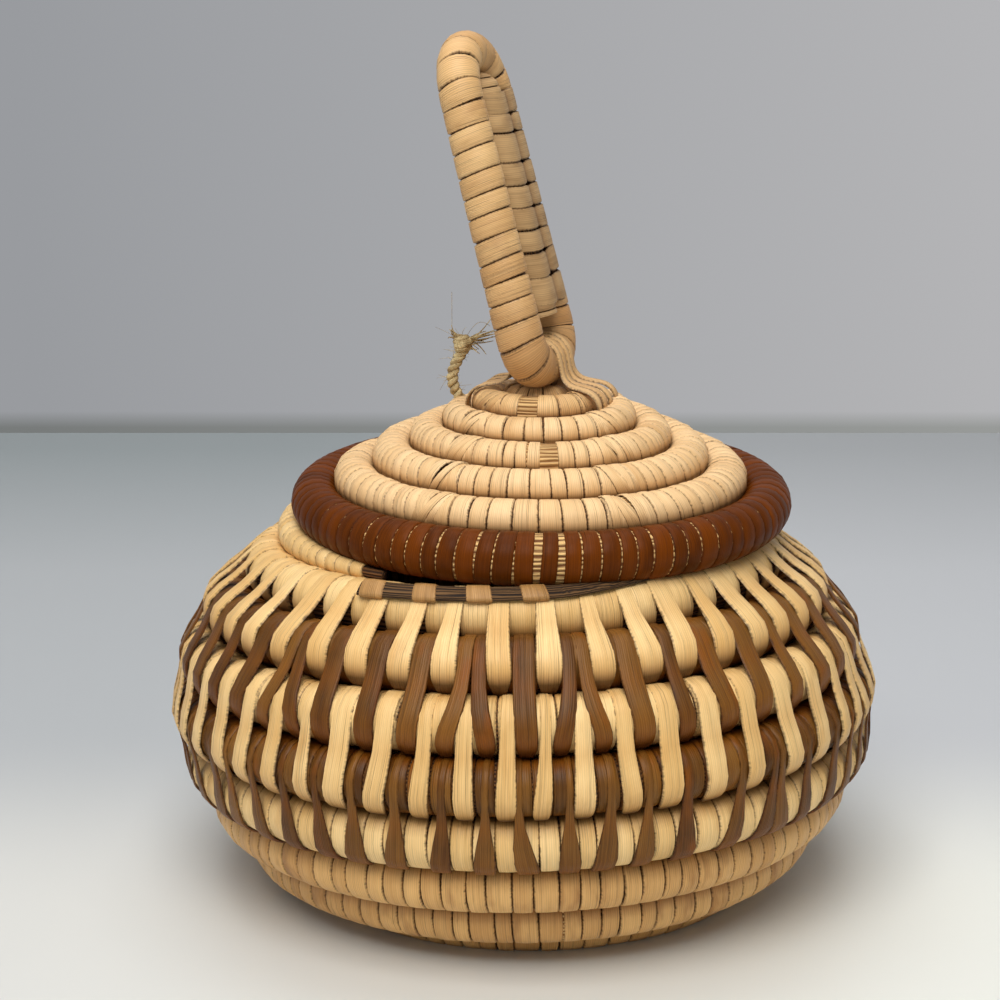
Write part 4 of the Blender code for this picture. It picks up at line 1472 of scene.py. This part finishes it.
@dataclass
class HandleShape:
    """The looped handle: a rope bent to a tall loop, and a second rope that fills it."""

    lid: LidShape = field(default_factory=LidShape)
    foot_rope: float = 4.9 * MM
    arch_rope: float = 4.2 * MM
    foot_half: float = 10.7 * MM
    arch_half: float = 9.6 * MM
    corner: float = 6.6 * MM
    rise: float = 69.1 * MM
    right: float = 0.3 * MM
    heading: float = math.radians(90.0 - 19.0)
    lean: float = math.radians(15.0)
    clearance: float = 0.35 * MM
    middle_start: float = 9.7 * MM

    def foot(self) -> Matrix:
        """The foot's axis, level on the crown."""
        crown = float(self.lid.level_point(np.array([6.0]), np.zeros(1))[0, 2]) + self.lid.crown_rope
        shift = Matrix.Translation((self.right, 0, crown + self.clearance + self.foot_rope))
        return self.lid.place() @ shift @ Matrix.Rotation(self.heading, 4, "Z")

    def place(self) -> Matrix:
        """The loop's own frame: X along the foot and Z up the loop."""
        return self.foot() @ Matrix.Rotation(-self.lean, 4, "X")

    def to_world(self, flat: Array, aside: Union[Array, float] = 0.0) -> Array:
        """Moves points of the loop's plane, or aside of it, to their place."""
        spot = np.array(self.place())
        local = np.column_stack([flat[:, 0], 0 * flat[:, 0] + aside, flat[:, 1]])
        return local @ spot[:3, :3].T + spot[:3, 3]

    def sizes_at(self, height: Array) -> tuple[Array, Array, Array]:
        """How far the limbs stand from the middle at a height, and the radii of a limb and of the middle rope."""
        share = np.clip(height / self.rise, 0, 1)
        half = self.foot_half + (self.arch_half - self.foot_half) * share
        rope = self.foot_rope + (self.arch_rope - self.foot_rope) * share
        return half, rope, half - rope - self.clearance

    def outer_line(self) -> RopeLine:
        """The loop's rope, from the middle of the foot round and back."""
        bend = np.linspace(0, math.pi / 2, 16)
        spring = self.rise - self.arch_half
        foot = np.column_stack([np.linspace(0, self.foot_half - self.corner, 6)[:-1], np.zeros(5)])
        turn = np.column_stack([self.foot_half - self.corner + self.corner * np.sin(bend),
                                self.corner - self.corner * np.cos(bend)])
        share = np.linspace(0, 1, 40)[1:-1]
        limb = np.column_stack([self.foot_half + (self.arch_half - self.foot_half) * share,
                                self.corner + (spring - self.corner) * share])
        arch = np.column_stack([self.arch_half * np.cos(bend), spring + self.arch_half * np.sin(bend)])
        side = np.concatenate([foot, turn, limb, arch])
        flat = np.concatenate([side, side[-2:0:-1] * (-1, 1), side[:1]])
        flat = np.concatenate([flat[-6:-1], flat, flat[1:6]])
        length = np.concatenate([[0.0], np.cumsum(np.linalg.norm(np.diff(flat, axis=0), axis=1))])
        length -= length[5]
        run = unit(np.gradient(flat, length, axis=0))
        ways = np.column_stack([run[:, 1], -run[:, 0]])
        spot = np.array(self.place())[:3, :3]
        outs = np.column_stack([ways[:, 0], 0 * ways[:, 0], ways[:, 1]]) @ spot.T
        radii = self.foot_rope + (self.arch_rope - self.foot_rope) * np.clip(flat[:, 1] / self.rise, 0, 1)
        return rope_line(length, self.to_world(flat), outs, radii)

    def middle_line(self) -> RopeLine:
        """The rope that fills the loop."""
        spring = self.rise - self.arch_half
        top = self.rise - self.arch_rope - self.clearance
        heights = np.concatenate([np.linspace(self.middle_start, spring, 40),
                                  spring + (top - spring) * np.sin(np.linspace(0, 1.35, 12))[1:]])
        radii = self.sizes_at(heights)[2]
        over = np.clip((heights - spring) / (top - spring), 0, 1)
        radii = radii * np.sqrt(1 - over**2)
        spot = np.array(self.place())[:3, :3]
        ways = np.tile(spot[:, 0], (len(heights), 1))
        flat = np.column_stack([0 * heights, heights])
        return rope_line(heights - heights[0], self.to_world(flat), ways, radii)


@dataclass
class BasketHandle:
    """The handle's two ropes with their wrapping."""

    shape: HandleShape = field(default_factory=HandleShape)
    # From where to where the band reaches, up the loop.
    band_start: float = 13.0 * MM
    band_end: float = 61.0 * MM

    def build_loop(self) -> None:
        """Models the outer rope."""
        node, slot = "handle_outer_coil", "handle_palm"
        line = self.shape.outer_line()
        length = float(line.marks[-6])
        core = lay_core(node + "_grass", line, 0.0, length, 150, 0.22 * MM)
        dress(core, GrassFinish(node + "_grass", slot), "handle", node)
        middles, halves = even(0.0, length, 1 / (4.55 * MM), 71, 0.14)
        # The back limb is covered by the band around it and the middle rope.
        kept = (middles < self.band_start + 9.5 * MM) | (middles > self.band_end + 4.0 * MM)
        middles, halves = middles[kept], halves[kept]
        number = len(middles)
        dice = np.random.default_rng(72)
        lifts = dice.random(number) * 0.1 * MM + 0.12 * MM
        slants = (1.0 + 0.8 * dice.random(number)) * MM
        strips = Strips(middles, halves * 0.98, slants, lifts, 73)
        dress(lay_wraps(node + "_wraps", line, strips, 18), Leaf.TAN.finish(slot), "handle", node)

    def build_middle(self) -> None:
        """Models the rope in the loop's middle."""
        node, slot = "handle_middle_coil", "middle_palm"
        line = self.shape.middle_line()
        length = float(line.marks[-1])
        core = lay_core(node + "_grass", line, 0.0, length, 60, 0.22 * MM)
        dress(core, GrassFinish(node + "_grass", slot), "handle", node)
        middles = np.concatenate([np.arange(0.4, 5.0, 2.2) * MM, length - np.arange(9.0, 0.0, -2.2) * MM])
        number = len(middles)
        slants = np.full(number, 1.0 * MM)
        strips = Strips(middles, np.full(number, 1.05 * MM), slants, np.full(number, 0.12 * MM), 76)
        # The middle rope's tan is darkened as painted shade.
        dress(lay_wraps(node + "_ends", line, strips, 18), Leaf.DULL.finish(slot), "handle", node)

    def build_band(self) -> None:
        """Models the strips that bind the middle rope and the back limb side by side."""
        shape = self.shape
        middles, halves = even(self.band_start, self.band_end, 1 / (5.2 * MM), 77, 0.3)
        count = len(middles)
        piece = strip_template("handle_band", count, 40, 0.2 * MM)
        number, x, t, z = strip_numbers(piece)
        dice = np.random.default_rng(78)
        chance, other = dice.random(count), dice.random(count)
        turned = np.radians(np.interp(t, (0, 0.14, 0.36, 0.64, 0.86, 1), (157, 90, 90, -90, -90, -157)))
        along = np.interp(t, (0, 0.14, 0.36, 0.64, 0.86, 1), (0, 0, 1, 1, 0, 0))
        groove = np.sin(math.pi * along)**10
        pinch = (0.05 + 0.42 * other**4)[number] * groove
        height = middles[number] + x * halves[number] * (0.975 - pinch)
        height += (dice.random(count)[number] - 0.5) * 1.6 * MM * (along - 0.5) + 1.5 * MM * np.sin(turned)
        half, rope, middle = shape.sizes_at(height)
        reach = middle + (rope - middle) * along + 0.3 * MM + z - 0.5 * MM * groove
        flat = np.column_stack([half * along + reach * np.cos(turned), height])
        points = shape.to_world(flat, reach * np.sin(turned))
        move_points(piece, points)
        spot = np.array(shape.place())[:3, :3]
        way = np.column_stack([np.cos(turned), np.sin(turned), 0 * turned]) @ spot.T
        note(piece, "lay", x * halves[number] / MM, t * 52.0, chance[number])
        # Painted shade in the groove between the middle rope and the back limb.
        note(piece, "wear", np.abs(x), groove * 0.7, other[number])
        close_up(piece, way)
        # The band's tan is darkened as painted shade.
        dress(piece, Leaf.DULL.finish("middle_palm"), "handle", "handle_middle_coil")

    def build(self) -> None:
        """Models and dresses the handle."""
        self.build_loop()
        self.build_middle()
        self.build_band()


@dataclass
class TwineEnd:
    """The short knotted end of twine behind the crown."""

    shape: LidShape = field(default_factory=LidShape)
    radius: float = 1.35 * MM
    height: float = 15.5 * MM
    # Aside and up as shares of the height, and thickness as a share of the radius.
    route: tuple[tuple[float, float, float], ...] = (
        (0.0, 0.0, 1.0), (-0.06, 0.1, 1.0), (-0.1, 0.21, 1.0), (-0.11, 0.33, 1.0), (-0.08, 0.46, 1.0),
        (-0.02, 0.57, 1.0), (0.03, 0.67, 1.05), (0.05, 0.75, 1.5), (0.05, 0.82, 1.7), (0.04, 0.88, 1.2))
    # For each loose end: where it leads, aside and up, how wide it frays and how many fibres it has.
    ends: tuple[tuple[float, float, float, int], ...] = ((0.5, 0.97, 0.09, 12), (-0.13, 0.95, 0.06, 8),
                                                         (0.28, 0.72, 0.05, 6))

    def build(self) -> None:
        """Models two twisted plies and the fuzz around them."""
        low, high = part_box("twine_end")
        seat = self.shape.set_down(np.array([[-18.4 * MM, 7.6 * MM, 0.0]]))[0]
        seat[2] = float(low[2])
        route = np.array(self.route)
        share = np.linspace(0, 1, 60)
        spread = np.linspace(0, 1, len(route))
        aside, up, thick = (np.interp(share, spread, column) for column in route.T)
        middle = seat + np.column_stack([aside, 0 * aside, up]) * self.height
        twist = share * TAU * 5
        paths, radii = [], []
        for phase in (0.0, math.pi):
            around = np.column_stack([np.cos(twist + phase), np.sin(twist + phase), 0 * twist])
            paths.append(middle + around * (0.5 * self.radius * thick)[:, None])
            radii.append(self.radius * thick * 0.55)
        plies = lay_tube("twine_plies", paths, radii, 8)
        dress(plies, FibreFinish("twine_plies", "twine_fibre"), "lid", "twine_end")
        dice = np.random.default_rng(81)
        hairs, sizes = [], []
        for _ in range(80):
            start = middle[dice.integers(6, 60)]
            way = dice.normal(size=3)
            way /= np.linalg.norm(way)
            curl = dice.normal(size=3) * 0.6
            reach = (1.2 + 3.0 * dice.random()**2) * MM
            run = np.linspace(0, 1, 6)[:, None]
            hairs.append(start + (way * run + curl * run**2) * reach)
            sizes.append(np.linspace(0.07, 0.03, 6) * MM)
        fuzz = lay_tube("twine_fuzz", hairs, sizes, 3)
        dress(fuzz, FibreFinish("twine_fuzz", "twine_fibre"), "lid", "twine_end")
        knot = seat + np.array((0.05, 0.0, 0.82)) * self.height
        loose, thin = [], []
        for aside_to, up_to, fray, number in self.ends:
            goal = seat + np.array((aside_to, 0.0, up_to)) * self.height
            for _ in range(number):
                run = np.linspace(0, 1, 8)[:, None]
                stray = dice.normal(size=3) * fray * self.height
                sag = dice.normal(size=3) * 0.03 * self.height * np.sin(math.pi * run)
                loose.append(knot + (goal - knot) * run + stray * run**1.5 + sag)
                thin.append(np.linspace(0.26, 0.08, 8) * MM)
        wisps = ((0.0, -0.11, 1.06, 0.55), (-0.11, -0.11, 1.1, 1.55), (0.1, 0.45, 1.22, 1.05))
        for start_at, by, top, stop in wisps:
            run = np.linspace(0, 1, 8)
            across = start_at + (by - start_at) * run
            rise = 0.9 + (stop - 0.9) * run + (top - 0.9) * np.sin(math.pi * run) * 0.4
            loose.append(seat + np.column_stack([across, 0 * run, rise]) * self.height)
            thin.append(np.full(8, 0.05 * MM))
        dress(lay_tube("twine_ends", loose, thin, 5), FibreFinish("twine_ends", "twine_fibre"), "lid", "twine_end")


# The studio.

@dataclass
class Studio:
    """The camera, the table, the grey wall and soft lights."""

    table_back: float = 0.577

    def build_camera(self) -> None:
        """Sets the camera at the photograph's place."""
        made = bpy.data.cameras.new("camera")
        made.lens = 72.76
        made.sensor_width = 36.0
        made.clip_start = 0.01
        made.clip_end = 20.0
        camera = bpy.data.objects.new("camera", made)
        bpy.context.scene.collection.objects.link(camera)
        camera.location = (-5.34 * MM, -450.0 * MM, 180.89 * MM)
        camera.rotation_euler = (math.radians(78.11), 0.0, 0.0)
        bpy.context.scene.camera = camera

    def seen(self, graph: Graph) -> Wire:
        """1 for what the camera sees directly, in a mirror or through glass, and 0 for light."""
        path = graph.tree.nodes.new("ShaderNodeLightPath")
        wires = [Wire(graph, path.outputs[name]) for name in ("Is Camera Ray", "Is Glossy Ray", "Is Transmission Ray")]
        return (wires[0] + wires[1] + wires[2]).clamped()

    def build_wall(self) -> None:
        """Adds the grey wall behind the table and the same grey all round."""
        deselect()
        bpy.ops.mesh.primitive_grid_add(x_subdivisions=2, y_subdivisions=2, size=2.0)
        wall = bpy.context.object
        wall.name = "backdrop"
        move_points(wall, places(wall)[:, [0, 2, 1]] * (2.6, 0.0, 1.6) + (0.0, 0.66, 1.2))
        made = bpy.data.materials.new("grey_wall")
        graph = Graph(made)
        x, y, z = graph.parts(graph.node("TexCoord", out="Object"))
        # Painted light and shade on the wall: lighter to the right, and painted shade at its foot, below the table's
        # level.
        share = (x * 1.9 + 0.5).clamped()
        colour = graph.mix(share, tone(153, 155, 159), tone(180, 180, 182))
        band = (1.0 - (z + 0.0115) * 110.0).clamped()
        colour = graph.mix(band, colour, graph.mix(share, tone(120, 123, 122), tone(152, 154, 152)))
        glow = graph.node("Emission", Color=colour, Strength=1.0)
        matt = graph.node("BsdfDiffuse", Color=tone(170, 170, 172))
        graph.surface(graph.node("MixShader", out=0, Fac=self.seen(graph), Shader=matt, Shader_001=glow))
        wall.data.materials.append(made)
        world = bpy.data.worlds.new("room")
        bpy.context.scene.world = world
        graph = Graph(world)
        seen = self.seen(graph)
        near = graph.node("Background", Color=tone(168, 169, 171), Strength=1.0)
        light = graph.node("Background", Color=(1.0, 0.985, 0.955), Strength=0.33)
        graph.surface(graph.node("MixShader", out=0, Fac=seen, Shader=light, Shader_001=near), "OutputWorld")

    def build_table(self) -> None:
        """Adds the white table."""
        deselect()
        bpy.ops.mesh.primitive_grid_add(x_subdivisions=8, y_subdivisions=8, size=2.0)
        table = bpy.context.object
        table.name = "table"
        depth = (self.table_back + 3.0) / 2
        move_points(table, places(table) * (3.0, depth, 1.0) + (0.0, self.table_back - depth, 0.0))
        made = bpy.data.materials.new("white_table")
        graph = Graph(made)
        x, y, z = graph.parts(graph.node("TexCoord", out="Object"))
        # Painted light and shade on the table: it darkens towards the back and is lighter to the right.
        share = (x * 4.5 + 0.5).clamped()
        near = graph.mix(share, tone(211, 213, 212), tone(227, 230, 226))
        middle = graph.mix(share, tone(178, 183, 188), tone(191, 195, 201))
        far = graph.mix(share, tone(154, 163, 167), tone(172, 177, 182))
        rise = ((y + 0.035) * 7.5).clamped()
        colour = graph.mix(rise * rise * (3.0 - rise * 2.0), near, middle)
        colour = graph.mix(((y - 0.28) * 4.0).clamped(), colour, far)
        matt = graph.node("BsdfPrincipled", BaseColor=colour, Roughness=0.45, SpecularIORLevel=0.3)
        graph.surface(matt)
        table.data.materials.append(made)

    def add_light(self, name: str, place: Sequence[float], size: float, power: float, warmth: Colour) -> None:
        """Adds a square soft light that faces the basket.

        Args:
            name: Its name.
            place: Where it hangs.
            size: Its side in metres.
            power: Its power in watts.
            warmth: Its colour.
        """
        made = bpy.data.lights.new(name, "AREA")
        made.shape = "SQUARE"
        made.size = size
        made.energy = power
        made.color = warmth
        lamp = bpy.data.objects.new(name, made)
        bpy.context.scene.collection.objects.link(lamp)
        lamp.location = place
        aim = Vector((0.0, 0.0, 0.07)) - Vector(place)
        lamp.rotation_euler = aim.to_track_quat("-Z", "Y").to_euler()

    def build(self) -> None:
        """Sets up everything around the basket."""
        bpy.context.scene.view_settings.view_transform = "Standard"
        self.build_wall()
        self.build_table()
        self.add_light("key_light", (-0.1, -0.62, 0.95), 0.7, 10.2, (1.0, 0.97, 0.925))
        self.add_light("top_light", (-0.05, 0.25, 1.2), 0.9, 5.4, (1.0, 0.985, 0.96))
        self.add_light("side_light", (-0.95, -0.35, 0.5), 0.8, 0.4, (0.98, 0.985, 1.0))


def main() -> None:
    """Builds the studio and the basket, piece by piece."""
    logging.basicConfig(level=logging.INFO, format="%(name)s %(message)s")
    studio = Studio()
    studio.build_camera()
    BasketBody().build()
    handle = BasketHandle()
    BasketLid().build(handle.shape)
    handle.build()
    TwineEnd().build()
    studio.build()
    log.info("the basket is whole")


if __name__ == "__main__":
    main()
